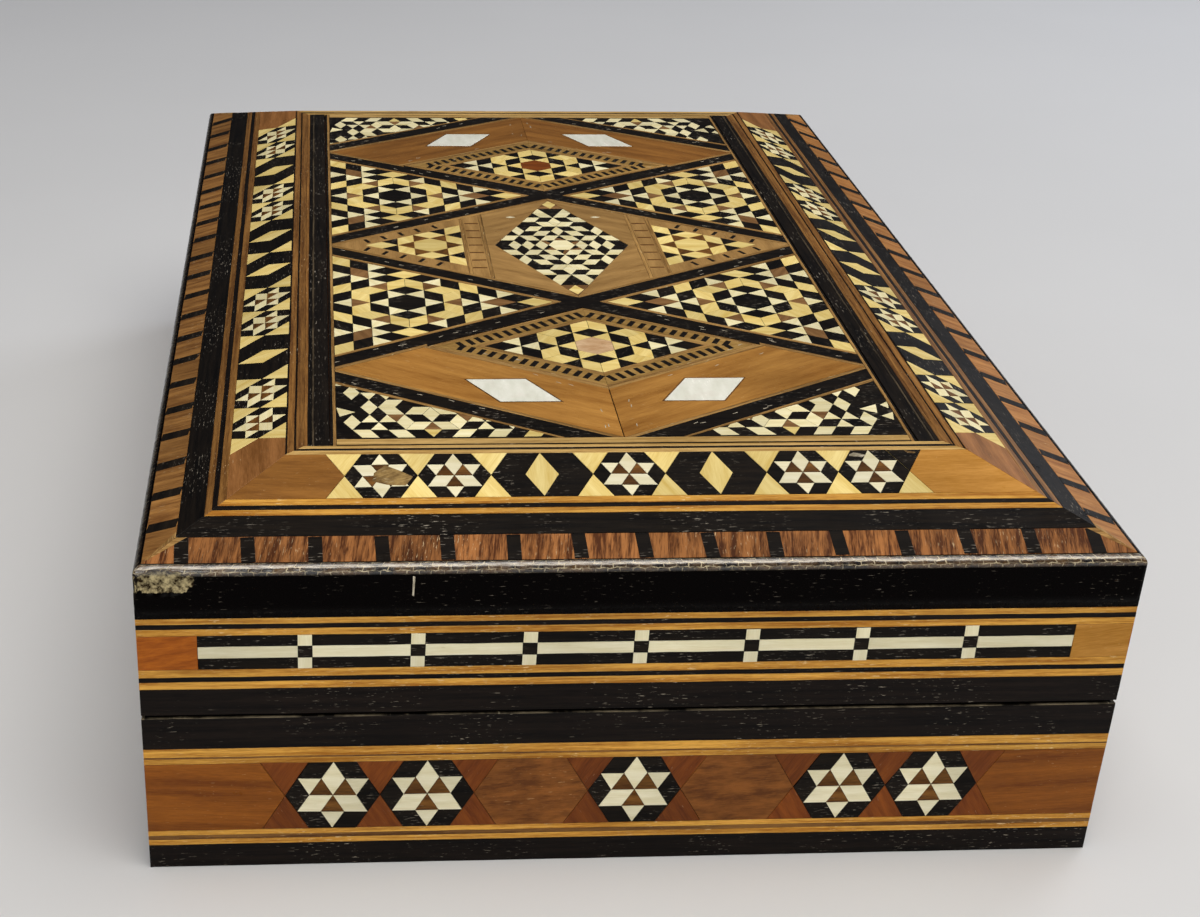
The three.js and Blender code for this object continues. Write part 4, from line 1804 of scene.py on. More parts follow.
@dataclass
class Border(Skin):
    """The sloping border of the lid: blocks and bars, an ebony frame, strings and a band of stars.

    A pair of sizes is for the short sides and for the long ones.

    Attributes:
        bar_width, bar_pitch, bar_lean: The black bars' width, their distance and their lean in degrees.
        wedge: The width of the pale wedge in each corner of the strip of blocks.
        strings: The three strings outside the stars, each up to its inner edge.
        star_half, long_half: Half the width of a star and of a long hexagon.
        shift: How far the row of stars lies off the middle.
        lozenge_half: Half the width of the yellow lozenge in a long hexagon.
        wear: The outline of a worn patch, as its reach in equal turns.
    """

    bar_width: tuple[float, float] = (1.6, 1.9)
    bar_pitch: tuple[float, float] = (7.13, 7.35)
    bar_lean: tuple[float, float] = (1.0, -7.0)
    wedge: float = 1.3
    strings: tuple[float, float, float] = (0.8, 1.4, 2.3)
    star_half: tuple[float, float] = (4.1, 4.05)
    long_half: tuple[float, float] = (5.75, 6.7)
    shift: tuple[float, float] = (-0.4, 0.0)
    lozenge_half: float = 1.9
    wear: tuple[float, ...] = (1.0, 0.7, 1.1, 0.85, 0.95, 0.75, 1.05)

    def build(self) -> None:
        """Lay the ring of ebony and the two strips of each side."""
        ring = Veneer("border_ebony_frame", self.sizes.top(), Seed.BORDER_FRAME, STEADY_WAVER)
        ring.absorb_ground(GLUE, [self.sizes.bevel(side) for side in Side])
        for side in Side:
            strip = self.sizes.bevel_strip(side, self.sizes.frame_inset, self.sizes.star_inset)
            ring.lay(strip, EBONY, facet=self.sizes.bevel(side))
            self._blocks(side)
            self._stars(side)
        ring.finish_piece()

    def _blocks(self, side: Side) -> None:
        """Lay the outermost strip of brown blocks with black bars between them.

        Args:
            side: The side of the lid.
        """
        layer = self.start(f"border_{side.word}_blocks", self.sizes.bevel(side), Seed.BLOCKS + side.value)
        outer, inner, is_long = self.sizes.block_inset, self.sizes.frame_inset, not side.is_short
        window = self.sizes.bevel_strip(side, outer, inner)
        foot, head = window[0][1], window[2][1]
        reach, pitch = self.sizes.reach(side), self.bar_pitch[is_long]
        count = int((2 * reach - 2 * inner) / pitch) + 1
        first = -pitch * (count - 1) / 2
        wood = {Side.LEFT: SIDE_BLOCK, Side.RIGHT: TAWNY_BLOCK}.get(side, ROSEWOOD)
        for k in range(count + 1):
            right = first + pitch * k
            layer.lay_inside(window, rectangle(right - pitch, right, foot, head), wood, grain=82.0)
        at, lean = (first, (foot + head) / 2), self.bar_lean[is_long]
        row = Row(at, (pitch, 0), count, lean, 2.5, 0.1, layer.seed)
        black = Motif([bar(self.bar_width[is_long], head - foot - 2 * PROUD)], EBONY)
        self.setter.set_row(layer, black, row)
        for way in (-1, 1):
            wedge = [(reach - outer, foot), (reach - inner, head), (reach - inner - self.wedge, head)]
            layer.lay(mirrored(wedge, way), RAIL, lift=PROUD)
        layer.finish_piece()

    def _stars(self, side: Side) -> None:
        """Lay the strings and the band of stars of one side.

        Args:
            side: The side of the lid.
        """
        node, seed = f"border_{side.word}_stars", Seed.BORDER_STARS + side.value
        layer = self.start(node, self.sizes.bevel(side), seed)
        strip, is_long = partial(self.sizes.bevel_strip, side), not side.is_short
        start, outermost = self.sizes.star_inset, STRING_BROWN if is_long else TAN
        layer.lay_strings(start, self.strings, (outermost, SIDE_EBONY, outermost), strip)
        window = strip(start + self.strings[-1], self.sizes.bevel_inset)
        order = "SSLSSLLSSLSS" if is_long else "SSLSLSS"
        sizes = (self.star_half[is_long], self.long_half[is_long], self.shift[is_long])
        band = StarBand(layer, window, order, *sizes)
        band.lay_ends(*((END_BROWN, END_BROWN) if is_long else (DULL_HONEY, AMBER)))
        band.lay_fillings(BOXWOOD)
        for centre in band.places()[1]:
            layer.lay(band.long_outline(centre), EBONY)
            lozenge = rhombus((centre, band.axis), self.lozenge_half, band.half_height)
            layer.lay(lozenge, BOXWOOD, 90.0, PROUD)
        band.lay_stars(self.setter, (EBONY, PALE_WOOD if is_long else BONE, STAR_BROWN))
        if side is Side.FRONT:
            self._front_wear(band)
        layer.finish_piece()

    def _front_wear(self, band: StarBand) -> None:
        """Lay the dark last triangle of the front, and uneven patches where tiles have worn away.

        Args:
            band: The front's band of stars.
        """
        stars, _, meets = band.places()
        last, axis, head = meets[-1], band.axis, band.window[2][1]
        half = band.star_half / 2
        band.layer.lay([(last, axis), (last + half, head), (last - half, head)], EBONY, lift=PROUD)
        for u, v, half_u, half_v, finish in (
            (stars[0] + 1.1, axis - 0.2, 2.5, 1.7, WORN_STAR),
            (stars[-1] - 1.5, axis + 2.6, 1.1, 0.4, SCRATCH),
            (last + 0.3, head - 0.4, 1.2, 0.3, WORN_STAR),
        ):
            turns = [2 * math.pi * k / len(self.wear) for k in range(len(self.wear))]
            patch = [(u + half_u * share * math.cos(turn), v + half_v * share * math.sin(turn))
                     for share, turn in zip(self.wear, turns)]
            band.layer.lay(patch, finish, 20.0, PROUD)


@dataclass(frozen=True)
class Quarter:
    """A quarter of the flat top, or half of it where only one of its signs counts.

    Attributes:
        way: Minus one at the front, and one at the back.
        flip: Minus one at the left, and one at the right.
    """

    way: int
    flip: int

    @property
    def end(self) -> str:
        """The end's name as the frame's nodes spell it."""
        return "front" if self.way < 0 else "back"

    @property
    def hand(self) -> str:
        """The hand's name in the same way."""
        return "left" if self.flip < 0 else "right"

    @property
    def word(self) -> str:
        """The quarter's name in the same way."""
        return f"{self.end}_{self.hand}"

    @property
    def number(self) -> int:
        """What it adds to a layer's seed."""
        return self.way + 2 * self.flip

    def mirror(self, corners: Sequence[Point]) -> Outline:
        """An outline of the back right quarter, mirrored into this one."""
        return mirrored(corners, self.flip, self.way)


@dataclass
class TopField(Skin):
    """The flat top of the lid: plates of mosaic and honey-coloured wood in a net of dark lines.

    Attributes:
        end_strings, side_strings: The strings outside the field, each up to its inner edge.
        ebony_lines: The edges of the fine lines in the ebony beside the field, from its outer edge.
        rail, edge_rail: The width of the pale rails round each plate and along the sides.
        edge_gap: What the gold strings at the ends leave free.
        half_width: Half the width of the field inside its strings.
        crossing, line: Where the net's lines cross the long axis, and their width there, rails and all.
        rope: The rope border's rings, each up to its inner edge.
        rope_half: Half a rope lozenge's width.
        dash, dash_pitch: The rope border's dashes, wide and long, and their distance.
        crack: The width of the open joint in the front chevron.
        fine_half: Half the width of the fine mosaic.
        strip_start, strip, strip_rail: Where the barred strip beside it begins, its width and its rails'.
        bar, bar_pitch, bars: The strip's bars, wide and high, their distance and their number.
        short_dash, short_pitch: The dashes round the middle triangles, wide and long, and their distance.
        unit, side_unit, fine_unit: The side of a triangle in the rope, the large and the fine mosaics.
        fine_stretch: How much taller than wide the fine one is.
        corner_y: How far the zero of a corner's mosaic lies from the middle, along the box.
        corner_x, corner_unit: How far it lies from the long axis, and its triangles' side, left and right.
        corner_row: The height of a row of them.
        flecks, fleck: How many flecks lie along each edge of a plate, and their length and width.
    """

    end_strings: tuple[float, ...] = (0.9, 1.4, 2.1)
    side_strings: tuple[float, ...] = (0.2, 1.0, 1.2, 2.1)
    ebony_lines: tuple[float, float, float] = (1.15, 0.9, 0.4)
    rail: float = 0.6
    edge_rail: float = 0.4
    edge_gap: float = 0.25
    half_width: float = 33.2
    crossing: float = 21.305
    line: float = 4.27
    rope: tuple[float, float, float] = (0.5, 3.05, 3.65)
    rope_half: float = 21.4
    dash: Point = (0.78, 1.8)
    dash_pitch: float = 1.45
    crack: float = 0.12
    fine_half: float = 9.7
    strip_start: float = 10.8
    strip: float = 3.4
    strip_rail: float = 0.5
    bar: Point = (2.1, 0.46)
    bar_pitch: float = 2.95
    bars: int = 7
    short_dash: Point = (0.6, 1.5)
    short_pitch: float = 2.9
    unit: float = 2.72
    side_unit: float = 2.839
    fine_unit: float = 1.94
    fine_stretch: float = 1.141
    corner_y: float = 57.4
    corner_x: tuple[float, float] = (22.0, 20.0)
    corner_unit: tuple[float, float] = (2.07, 2.16)
    corner_row: float = 2.0
    flecks: int = 3
    fleck: Point = (0.8, 0.18)

    @property
    def half_length(self) -> float:
        """Half the field's length, where the outermost line of the net meets the axis."""
        return 3 * self.crossing - self.line / 2

    @property
    def window(self) -> Outline:
        """The whole field."""
        return rectangle(-self.half_width, self.half_width, -self.half_length, self.half_length)

    def build(self) -> None:
        """Lay the strings, the net and every plate."""
        self._string_frame()
        for flip in (-1, 1):
            self._side_ebony(Quarter(1, flip))
        self._net()
        for way in (-1, 1):
            self._chevron(way)
            self._rope_lozenge(way)
            for flip in (-1, 1):
                self._side_mosaic(Quarter(way, flip))
                self._corner_mosaic(Quarter(way, flip))
                self._pearl(Quarter(way, flip))
        self._fine_mosaic()
        for flip in (-1, 1):
            self._middle_field(flip)
            self._middle_triangle(flip)

    def _begin(self, node: str, seed: int, waver: float = WAVER) -> Veneer:
        """Start the layer of one node of the flat top."""
        return self.start(node, self.sizes.top(), seed, waver)

    def _string_frame(self) -> None:
        """Lay the strings round the field."""
        layer = self._begin("field_string_frame", Seed.STRING_FRAME)
        for side in Side:
            wall, reach, start = self.sizes.wall(side), self.sizes.reach(side), self.sizes.bevel_inset
            above = Vector((0, 0, self.sizes.top_z))
            face = Facet(wall.origin + above, wall.right, side.turn(Vector((0, 1, 0))))

            def strip(outer: float, inner: float) -> Outline:
                """A mitred strip of this side, between two insets."""
                return [(outer - reach, outer), (reach - outer, outer), (reach - inner, inner),
                        (inner - reach, inner)]

            widths = self.end_strings if side.is_short else self.side_strings
            finishes = (GOLD, SIDE_EBONY, GOLD) if side.is_short else (SIDE_EBONY, STRING_BROWN) * 2
            layer.lay_strings(start, widths, finishes, strip, face)
        layer.finish_piece()

    def _side_ebony(self, quarter: Quarter) -> None:
        """Lay the ebony band along the field, with a brown string and a fine grey line.

        Args:
            quarter: The side that it lies on.
        """
        node = f"field_{quarter.hand}_ebony"
        layer = self._begin(node, Seed.FIELD_EBONY + quarter.flip)
        reach = reach_of(node, 1)[1]
        near, far = sorted(abs(x) for x in reach_of(node, 0))
        bounds = (near, *(far - inset for inset in self.ebony_lines), far)
        for low, high, finish in zip(bounds, bounds[1:], (EBONY, GREY_LINE, EBONY, STRING_BROWN)):
            layer.lay(quarter.mirror(rectangle(low, high, -reach, reach)), finish, 90.0, joint=FINE_JOINT)
        layer.finish_piece()

    def _net(self) -> None:
        """Lay the dark net with the pale rails round the plates, and the strings at its edges."""
        layer = Veneer("field_lines", self.sizes.top(), Seed.NET, STEADY_WAVER)
        layer.absorb_ground(EBONY, [])
        outer, wide, long = reach_of("field_lines", 1)[1], self.half_width, self.half_length
        for way in (-1, 1):
            side = rectangle(way * wide, way * (wide + self.edge_rail), -outer, outer)
            layer.lay(side, RAIL, 90.0, PROUD)
            end = rectangle(-wide, wide, way * long, way * (outer - self.edge_gap))
            layer.lay(end, GOLD, 0.0, PROUD)
        plates: list[tuple[Outline, Sequence[int]]] = [(self._middle_outline(), ())]
        for way in (-1, 1):
            plates.append((self._rope_outline(way), (0, 1) if way > 0 else (2, 3)))
            for flip in (-1, 1):
                quarter = Quarter(way, flip)
                half = self._chevron_half(quarter)
                bare = [k for k, (a, b) in enumerate(edges(half)) if not self._has_rail(a, b)]
                plates += [(self._side_outline(quarter), ()), (self._corner_outline(quarter), ())]
                plates.append((half, bare))
        for outline, skipped in plates:
            self._lay_rails(layer, RAIL, rails(outline, self.rail, self.window, skipped), PROUD)
        self._flecks(layer, [outline for outline, _ in plates])
        layer.finish_piece()

    def _lay_rails(
        self, layer: Veneer, finish: Surface, strips: Sequence[Outline], lift: float = 0.0
    ) -> None:
        """Lay strips with their grain along them."""
        for strip in strips:
            layer.lay(strip, finish, self._slant(strip), lift, joint=FINE_JOINT)

    def _flecks(self, layer: Veneer, plates: Sequence[Outline]) -> None:
        """Scatter small worn flecks along the dark lines beside the plates.

        Args:
            layer: The layer that takes them in.
            plates: The plates' outlines, anticlockwise.
        """
        dice = random.Random(Seed.FLECK_PLACES)
        spots = []
        for a, b in (edge for plate in plates for edge in edges(plate)):
            inward = inward_of(a, b)
            for _ in range(self.flecks):
                u, v = part_way(a, b, dice.uniform(0.05, 0.95))
                away = self.rail + dice.uniform(0.2, 1.6)
                u, v = u - inward[0] * away, v - inward[1] * away
                if abs(u) < self.half_width and abs(v) < self.half_length:
                    spots.append((u, v, lean_of(a, b) + dice.uniform(-12, 12)))
        self.setter.set_spots(layer, Motif([bar(*self.fleck)], SCRATCH, lift=0.01), spots, Seed.FLECKS)

    @staticmethod
    def _slant(strip: Outline) -> float:
        """The direction of an outline's longest edge, in degrees."""
        return lean_of(*max(edges(strip), key=lambda edge: math.dist(*edge)))

    def _has_rail(self, a: Point, b: Point) -> bool:
        """Whether an edge of a chevron's half has a rail, which the axis and the rope lozenge have not."""
        on_axis = abs(a[0]) < 0.01 and abs(b[0]) < 0.01
        on_rope = max(abs(a[0]), abs(b[0])) < self.rope_half + 0.1
        return not on_axis and not on_rope

    def _middle_outline(self) -> Outline:
        """The large lozenge in the middle of the field."""
        return rhombus((0.0, 0.0), self.half_width, self.half_width / ROOT3)

    def _rope_outline(self, way: int) -> Outline:
        """A rope lozenge: the front one for minus one, the back one for plus one."""
        low = self.crossing + self.line / 2
        half_v = self.rope_half / ROOT3
        return rhombus((0.0, way * (low + half_v)), self.rope_half, half_v)

    def _side_outline(self, quarter: Quarter) -> Outline:
        """The large triangle beside two lozenges, with its point towards the axis."""
        near = self.line / 2 * ROOT3
        half = (self.half_width - near) / ROOT3
        u, v = quarter.flip * self.half_width, quarter.way * self.crossing
        return anticlockwise([(quarter.flip * near, v), (u, v - half), (u, v + half)])

    def _corner_outline(self, quarter: Quarter) -> Outline:
        """The triangle in a corner of the field."""
        wide, long = self.half_width, self.half_length
        low = long + self.line - wide / ROOT3
        return quarter.mirror([(self.line * ROOT3, long), (wide, low), (wide, long)])

    def _chevron_half(self, quarter: Quarter) -> Outline:
        """Half a chevron, on one side of the axis."""
        wide, long, rope = self.half_width, self.half_length, self._rope_outline(1)
        return quarter.mirror([rope[3], rope[2], (wide, long - wide / ROOT3), (0.0, long)])

    def _chevron(self, way: int) -> None:
        """Lay a chevron of two pieces of honey-coloured wood that meet on the axis.

        Args:
            way: Minus one at the front, and one at the back.
        """
        layer = self._begin(f"{Quarter(way, 1).end}_chevron", Seed.CHEVRON + way)
        crack, wood = (self.crack, HONEY) if way < 0 else (GLUE_LINE, DULL_HONEY)
        for flip in (-1, 1):
            layer.lay(self._chevron_half(Quarter(way, flip)), wood, -30.0 * way * flip, joint=crack)
        layer.finish_piece()

    def _pearl(self, quarter: Quarter) -> None:
        """Lay a slanting piece of mother-of-pearl with a dark line round it.

        Args:
            quarter: The quarter that it lies in.
        """
        node = f"{quarter.word}_pearl"
        low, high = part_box(node)
        left, right = sorted((abs(low.x) / MM, abs(high.x) / MM))
        near, far = sorted((abs(low.y) / MM, abs(high.y) / MM))
        lean = (far - near) / ROOT3
        layer = self._begin(node, Seed.SHELL + quarter.number, FINE_WAVER)
        outline = quarter.mirror([(left + lean, near), (right, near), (right - lean, far), (left, far)])
        layer.lay(grown(outline, 0.2), STAR_BROWN, lift=0.012)
        layer.lay(outline, PEARL, lift=0.03)
        layer.finish_piece()

    def _rope_lozenge(self, way: int) -> None:
        """Lay a lozenge of mosaic inside a border of dashes.

        Args:
            way: Minus one at the front, and one at the back.
        """
        layer = self._begin(f"{Quarter(way, 1).end}_rope_lozenge", Seed.ROPE + way)
        bounds = (0.0, *self.rope)
        rings = [self._rope_outline(way), *(shrunk(self._rope_outline(way), width) for width in self.rope)]
        for k, finish in enumerate((RAIL, ROPE_BROWN, RAIL)):
            self._lay_rails(layer, finish, rails(rings[k + 1], bounds[k + 1] - bounds[k], rings[k]))
        lines = edges(shrunk(rings[0], (self.rope[0] + self.rope[1]) / 2))
        self._dashes(layer, lines, 0.3, self.dash, self.dash_pitch)
        mosaic = Mosaic(layer, rings[3], middle(rings[0]), self.unit)
        mosaic.ground(EBONY)
        mosaic.hexagon(BLUSH if way < 0 else RED_BROWN)
        mosaic.star(BOXWOOD, EBONY)
        mosaic.tile(BOXWOOD, "0,2 1,1.5 1,2.5 0,3", 6, along=True)
        mosaic.tile(EBONY, "2,0 3,.5 3,-.5", 6)
        mosaic.tile(PALE_WOOD, "3,.5 3,-.5 4,0", 2)
        mosaic.tile(PALE_WOOD, "4,0 4,1 5,.5", along=True, across=True)
        mosaic.tile(EBONY, "4,0 5,.5 6,0 5,-.5", 2)
        layer.finish_piece()

    def _dashes(
        self, layer: Veneer, lines: Iterable[tuple[Point, Point]], spare: float, size: Point, pitch: float
    ) -> None:
        """Set dark dashes square across straight lines.

        Args:
            layer: The layer that takes them in.
            lines: Both ends of each line that the dashes' middles lie on.
            spare: The length that stays free at both ends of a line.
            size: A dash's width and length.
            pitch: The distance from one dash to the next.
        """
        dash = Motif([bar(*size)], EBONY)
        for a, b in lines:
            length = math.dist(a, b)
            count = int((length - 2 * spare) / pitch) + 1
            at = part_way(a, b, (length - (count - 1) * pitch) / 2 / length)
            step = ((b[0] - a[0]) / length * pitch, (b[1] - a[1]) / length * pitch)
            self.setter.set_row(layer, dash, Row(at, step, count, lean_of(a, b), 3.0, 0.05, layer.seed))

    def _side_mosaic(self, quarter: Quarter) -> None:
        """Lay the mosaic of a large triangle.

        Args:
            quarter: The quarter that it lies in.
        """
        layer = self._begin(f"{quarter.word}_side_mosaic", Seed.SIDE_MOSAIC + quarter.number)
        outline = self._side_outline(quarter)
        mosaic = Mosaic(layer, outline, middle(outline), self.side_unit, flip=-quarter.flip)
        mosaic.ground(EBONY)
        mosaic.hexagon(EBONY)
        mosaic.star(PALE_WOOD, EBONY)
        mosaic.tile(BOXWOOD, "0,2 1,1.5 1,2.5 0,3", 6, along=True)
        mosaic.tile(TAWNY, "2,0 3,.5 3,-.5", 6)
        mosaic.tile(PALE_WOOD, "3,.5 3,-.5 4,0", 6)
        mosaic.tile(EBONY, "3,.5 4,0 4,1 3,1.5", 6, across=True)
        mosaic.tile(BOXWOOD, "0,3 1,3.5 0,4 -1,3.5", 6)
        mosaic.tile(EBONY, "4,1 5,.5 5,1.5 4,2", 3, across=True)
        mosaic.tile(PALE_WOOD, "4,0 4,1 5,.5", 3, across=True)
        mosaic.tile(TAWNY, "4,0 5,.5 6,0 5,-.5", 3)
        mosaic.tile(PALE_WOOD, "5,.5 5,1.5 6,1", 3, across=True)
        mosaic.tile(EBONY, "5,.5 6,0 7,.5 6,1", 3, across=True)
        mosaic.tile(BOXWOOD, "6,0 7,.5 8,0 7,-.5", 3)
        layer.finish_piece()

    def _corner_mosaic(self, quarter: Quarter) -> None:
        """Lay the mosaic of a corner triangle, half a rosette beside its neighbours.

        Args:
            quarter: The quarter that it lies in.
        """
        layer = self._begin(f"{quarter.word}_corner_mosaic", Seed.CORNER_MOSAIC + quarter.number)
        flip, hand = quarter.flip, int(quarter.flip > 0)
        origin, unit = (flip * self.corner_x[hand], quarter.way * self.corner_y), self.corner_unit[hand]
        stretch = self.corner_row / (unit * ROOT3 / 2)
        window = self._corner_outline(quarter)
        mosaic = Mosaic(layer, window, origin, unit, False, stretch, flip, -quarter.way)
        mosaic.ground(EBONY)
        mosaic.tile(TAWNY, "0,0 -.5,-1 .5,-1")
        mosaic.tile(BOXWOOD, "-.5,-1 0,-2 .5,-1")
        mosaic.tile(PALE_WOOD, "0,0 .5,1 0,2 -.5,1")
        mosaic.tiles(
            PALE_WOOD, "0,0 -1,0 -1.5,-1 -.5,-1", "-1.5,1 -2,0 -1.5,-1 -1,0", "-2.5,1 -1.5,1 -2,2 -3,2",
            "-3,2 -2,2 -1.5,3 -2.5,3", "-1.5,1 -.5,1 0,2 -1,2", "-3,0 -2,0 -2.5,1", "-4,0 -3,0 -3.5,1",
            "-3,0 -3.5,-1 -2.5,-1", "-4.5,-1 -4,0 -4.5,1 -5,0", "-3.5,1 -3,2 -3.5,3 -4,2",
            "-1.5,-1 -2.5,-1 -2,-2 -1,-2", "-3.5,-1 -4.5,-1 -4,-2 -3,-2", along=True,
        )
        mosaic.tiles(
            EBONY, "0,0 -.5,1 -1.5,1 -1,0", "-2,0 -3,0 -2.5,-1 -1.5,-1", "-1.5,1 -1,2 -1.5,3 -2,2",
            "-3,0 -2.5,1 -3,2 -3.5,1", "-4,0 -3,0 -3.5,-1 -4.5,-1", "-.5,-1 -1.5,-1 -1,-2 0,-2",
            "-4,0 -3.5,1 -4,2 -4.5,1", "-3,2 -2.5,3 -3,4 -3.5,3", "-4,2 -3.5,3 -4,4 -4.5,3", along=True,
        )
        mosaic.tile(TAWNY, "-2.5,1 -2,0 -1.5,1", along=True)
        mosaic.tiles(
            PALE_WOOD, "-4.5,3 -4,4 -4.5,5 -5,4", "-4.5,5 -5.5,5 -6,6 -5,6", "-3.5,3 -3,4 -4,4",
            "-2.5,3 -2,4 -3,4", "-4.3,1.35 -5.4,2 -5.2,.75", "-5.6,1.9 -6.2,2.4 -6,1.35",
            "-5.3,.4 -6.1,.9 -5.9,-.2", along=True,
        )
        if flip < 0:
            mosaic.tiles(BOXWOOD, "-5.5,-1 -6.5,-1 -6,-2 -5,-2", "-4.5,1 -4,0 -3.5,1 -4,2")
        layer.finish_piece()

    def _fine_mosaic(self) -> None:
        """Lay the fine star in the middle of the lid."""
        layer = self._begin("middle_fine_mosaic", Seed.FINE_MOSAIC, FINE_WAVER)
        outline = rhombus((0.0, 0.0), self.fine_half, self.half_width / ROOT3)
        lattice = ((0.0, 0.0), self.fine_unit, False, self.fine_stretch)
        mosaic = Mosaic(layer, outline, *lattice)
        mosaic.ground(EBONY)
        mosaic.tile(PALE_WOOD, "1,0 .5,1 -.5,1 -1,0 -.5,-1 .5,-1")
        mosaic.tile(EBONY, "1,0 1.5,1 .5,1", 6)
        mosaic.tile(PALE_WOOD, "1,0 1.5,-1 2,0 1.5,1", 6)
        mosaic.tile(TAWNY, "1,0 1.5,-1 .5,-1", 6)
        pale = ("2,0 2.5,-1 3,0 2.5,1", "3,0 3.5,-1 4,0 3.5,1", "1.5,1 2.5,1 3,2 2,2")
        mosaic.tiles(PALE_WOOD, *pale, turns=6)
        mosaic.tile(PALE_WOOD, "3.5,1 4.5,1 4,2 3,2", 6, across=True)
        mosaic.tiles(
            PALE_WOOD, "0,4 .5,5 0,6 -.5,5", "1.5,5 2.5,5 2,6 1,6", "0,6 1,6 1.5,7 .5,7", ".5,7 1.5,7 1,8",
            along=True, across=True,
        )
        mosaic.tile(EBONY, "0,6 .5,7 0,8 -.5,7", across=True)
        mosaic.tile(TAWNY, "0,8 1.2,8 0,11 -1.2,8", across=True)
        tip = Mosaic(layer, outline, *lattice, lift=PROUD)
        tip.tile(BOXWOOD, "0,8 .55,8.9 0,9.8 -.55,8.9", across=True)
        layer.finish_piece()

    def _middle_field(self, flip: int) -> None:
        """Lay the plain field beside the fine mosaic, in two pieces, with a fleck of bone.

        Args:
            flip: Minus one at the left, and one at the right.
        """
        layer = self._begin(f"middle_{Quarter(1, flip).hand}_field", Seed.MIDDLE_FIELD + flip)
        start, tip = self.strip_start, self.half_width / ROOT3
        high = (self.half_width - start) / ROOT3
        for way in (-1, 1):
            corners = [(self.fine_half, 0.0), (start, 0.0), (start, high), (0.0, tip)]
            layer.lay(mirrored(corners, flip, way), UMBER, -30.0 * way * flip)
        layer.lay(mirrored(rhombus((6.4, 11.6), 0.8, 0.35), flip), BONE, lift=PROUD)
        layer.finish_piece()

    def _middle_triangle(self, flip: int) -> None:
        """Lay the triangle beside the middle field: a barred strip, dashes and a small star.

        Args:
            flip: Minus one at the left, and one at the right.
        """
        layer = self._begin(f"middle_{Quarter(1, flip).hand}_triangle", Seed.MIDDLE_TRIANGLE + flip)
        start, wide = self.strip_start, self.half_width
        base, high = start + self.strip, (wide - start) / ROOT3
        outline = mirrored([(start, -high), (wide, 0), (start, high)], flip)
        strip = cut(outline, (flip * base, 0.0), (-flip, 0.0))
        triangle = cut(outline, (flip * base, 0.0), (flip, 0.0))
        bounds = (start, start + self.strip_rail, base - self.strip_rail, base)
        for near, far, finish in zip(bounds, bounds[1:], (RAIL, UMBER, RAIL)):
            part = cut(strip, (flip * near, 0.0), (flip, 0.0))
            layer.lay(cut(part, (flip * far, 0.0), (-flip, 0.0)), finish, 90.0, joint=FINE_JOINT)
        first = (flip * (start + base) / 2, -self.bar_pitch * (self.bars - 1) / 2)
        row = Row(first, (0, self.bar_pitch), self.bars, 0.0, 2.0, 0.05, Seed.LADDER)
        self.setter.set_row(layer, Motif([bar(*self.bar)], STAR_BROWN), row)
        layer.lay(triangle, UMBER, 90.0)
        slanting = [(a, b) for a, b in edges(shrunk(triangle, 1.1)) if abs(a[0] - b[0]) > 1]
        self._dashes(layer, slanting, 2.0, self.short_dash, self.short_pitch)
        inner = mirrored([(28.4, 0.0), (14.3, 8.16), (14.3, -8.16)], flip)
        mosaic = Mosaic(layer, inner, (flip * 19.0, 0.0), self.unit, flip=flip, lift=PROUD)
        mosaic.tile(EBONY, "2,0 2,1 3,.5", 3, across=True)
        mosaic.hexagon(BOXWOOD)
        mosaic.star(STAR_BROWN, BOXWOOD)
        mosaic.tile(BOXWOOD, "2,0 3,.5 4,0 3,-.5", 3)
        layer.finish_piece()


@dataclass(frozen=True)
class Lamp:
    """One soft square light.

    Attributes:
        name: The light's name.
        place: Where it hangs, in millimetres.
        target: What it points at.
        size: Its side, in millimetres.
        power: Its power in watts.
        tint: Its colour.
    """

    name: str
    place: Triple
    target: Triple
    size: float
    power: float
    tint: int

    def hang(self) -> None:
        """Add the light to the scene."""
        data = bpy.data.lights.new(self.name, "AREA")
        data.size, data.energy, data.color = self.size * MM, self.power, srgb(self.tint)[:3]
        lamp = bpy.data.objects.new(self.name, data)
        lamp.location = Vector(self.place) * MM
        lamp.rotation_euler = (Vector(self.target) - Vector(self.place)).to_track_quat("-Z", "Y").to_euler()
        bpy.context.scene.collection.objects.link(lamp)


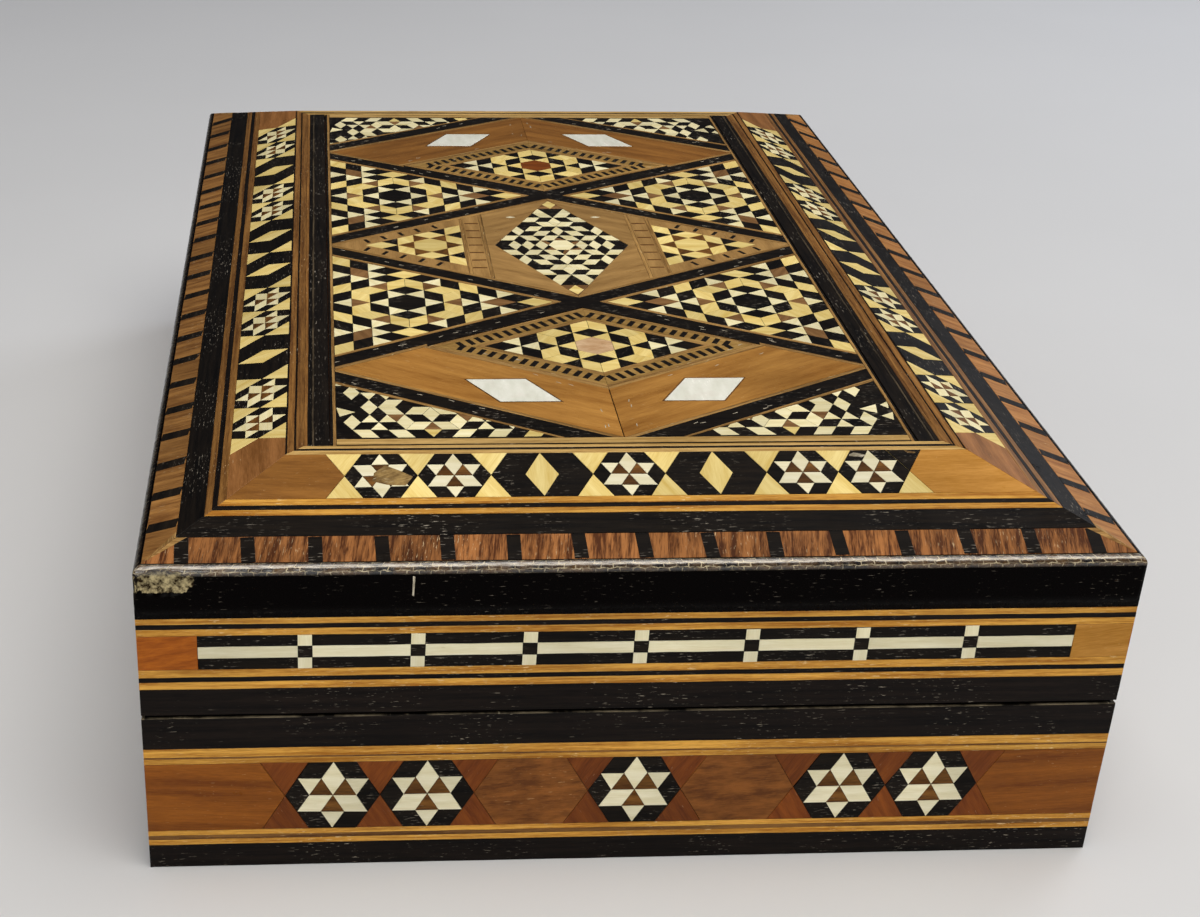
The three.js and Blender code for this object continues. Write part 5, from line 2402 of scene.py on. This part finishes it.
class Studio:
    """A plain pale floor, soft studio light and the camera at the photo's angle."""

    PICTURE = (1200, 917)
    FOCAL_PIXELS = 1860.68
    SENSOR = 36.0
    OPTICAL_CENTRE = (432.0, 458.747)
    NEAREST = 0.01
    EYE = Vector((-34.705, -251.777, 141.285))
    PITCH = 0.47821
    YAW = -0.06571
    ROLL = 0.02201
    LAMPS = (
        Lamp("key", (70, -190, 620), (10, 10, 30), 560, 3.3, 0xFFF9F0),
        Lamp("back_window", (420, 330, 330), (0, 40, 40), 260, 0.75, 0xF2F6FF),
        Lamp("front_fill", (-200, -560, 200), (0, -60, 30), 240, 0.75, 0xFFFDF8),
    )
    FLOOR_REACH = 3.0
    FLOOR_TINTS = ((0.68, 0.69, 0.70, 1.0), (0.74, 0.75, 0.76, 1.0))
    HORIZON = 0x54565A
    ZENITH = 0xF0F3FF
    BACKDROP = (1.9, 1.92, 1.98, 1.0)
    SURROUNDINGS = 0.3

    def build(self) -> None:
        """Set up the floor, the lights, the world and the camera."""
        self._floor()
        self._world()
        for lamp in self.LAMPS:
            lamp.hang()
        self._camera()

    def _floor(self) -> None:
        """Lay the plain pale floor under the box."""
        mesh, reach = bpy.data.meshes.new("floor"), self.FLOOR_REACH
        corners = rectangle(-reach, reach, -reach, reach)
        mesh.from_pydata([(x, y, 0) for x, y in corners], [], [(0, 1, 2, 3)])
        made, bench = new_material("floor")
        cloud = bench.noise(bench.place(), 9.0, 3.0)
        bench.dress({"Base Color": bench.mix(cloud, *self.FLOOR_TINTS), "Roughness": 0.9})
        mesh.materials.append(made)
        floor = bpy.data.objects.new("floor", mesh)
        bpy.context.scene.collection.objects.link(floor)

    def _world(self) -> None:
        """Make the surroundings pale overhead and dark towards the horizon."""
        world = bpy.data.worlds.new("studio")
        world.use_nodes = True
        bench = Bench(world.node_tree)
        height = bench.up_part(bench.node("ShaderNodeTexCoord").outputs["Generated"])
        shown = bench.mix(bench.between(height, 0.2, 0.9), srgb(self.HORIZON), srgb(self.ZENITH))
        seen = bench.node("ShaderNodeLightPath").outputs["Is Camera Ray"]
        back = world.node_tree.nodes["Background"]
        bench.fill(back.inputs["Color"], bench.mix(seen, shown, self.BACKDROP))
        back.inputs["Strength"].default_value = self.SURROUNDINGS
        bpy.context.scene.world = world
        bpy.context.scene.view_settings.view_transform = "Standard"

    def _camera(self) -> None:
        """Stand the camera where the photograph was taken from."""
        data = bpy.data.cameras.new("camera")
        width, height = self.PICTURE
        data.sensor_width = self.SENSOR
        data.lens = self.FOCAL_PIXELS * self.SENSOR / width
        data.shift_x = (width / 2 - self.OPTICAL_CENTRE[0]) / width
        data.shift_y = (self.OPTICAL_CENTRE[1] - height / 2) / width
        data.clip_start = self.NEAREST
        camera = bpy.data.objects.new("camera", data)
        camera.matrix_world = Matrix.Translation(self.EYE * MM) @ self._turn().to_4x4()
        bpy.context.scene.collection.objects.link(camera)
        bpy.context.scene.camera = camera

    def _turn(self) -> Matrix:
        """The camera's turn, from its yaw, pitch and roll."""
        yaw, pitch, roll = self.YAW, self.PITCH, self.ROLL
        level = Vector((math.cos(yaw), math.sin(yaw), 0))
        ahead = Vector((-math.sin(yaw) * math.cos(pitch), math.cos(yaw) * math.cos(pitch), -math.sin(pitch)))
        above = Vector((-math.sin(yaw) * math.sin(pitch), math.cos(yaw) * math.sin(pitch), math.cos(pitch)))
        right = level * math.cos(roll) + above * math.sin(roll)
        up = above * math.cos(roll) - level * math.sin(roll)
        return Matrix((right, up, -ahead)).transposed()


def main() -> None:
    """Dress the box and set up the studio."""
    logging.basicConfig(level=logging.INFO, format="%(name)s: %(message)s")
    noise.seed_set(Seed.STRAY)
    sizes, setter = BoxSizes(), MotifSetter()
    Carcass().dress()
    BaseSkin(sizes, setter).build()
    LidSkin(sizes, setter).build()
    Border(sizes, setter).build()
    TopField(sizes, setter).build()
    Studio().build()


if __name__ == "__main__":
    main()
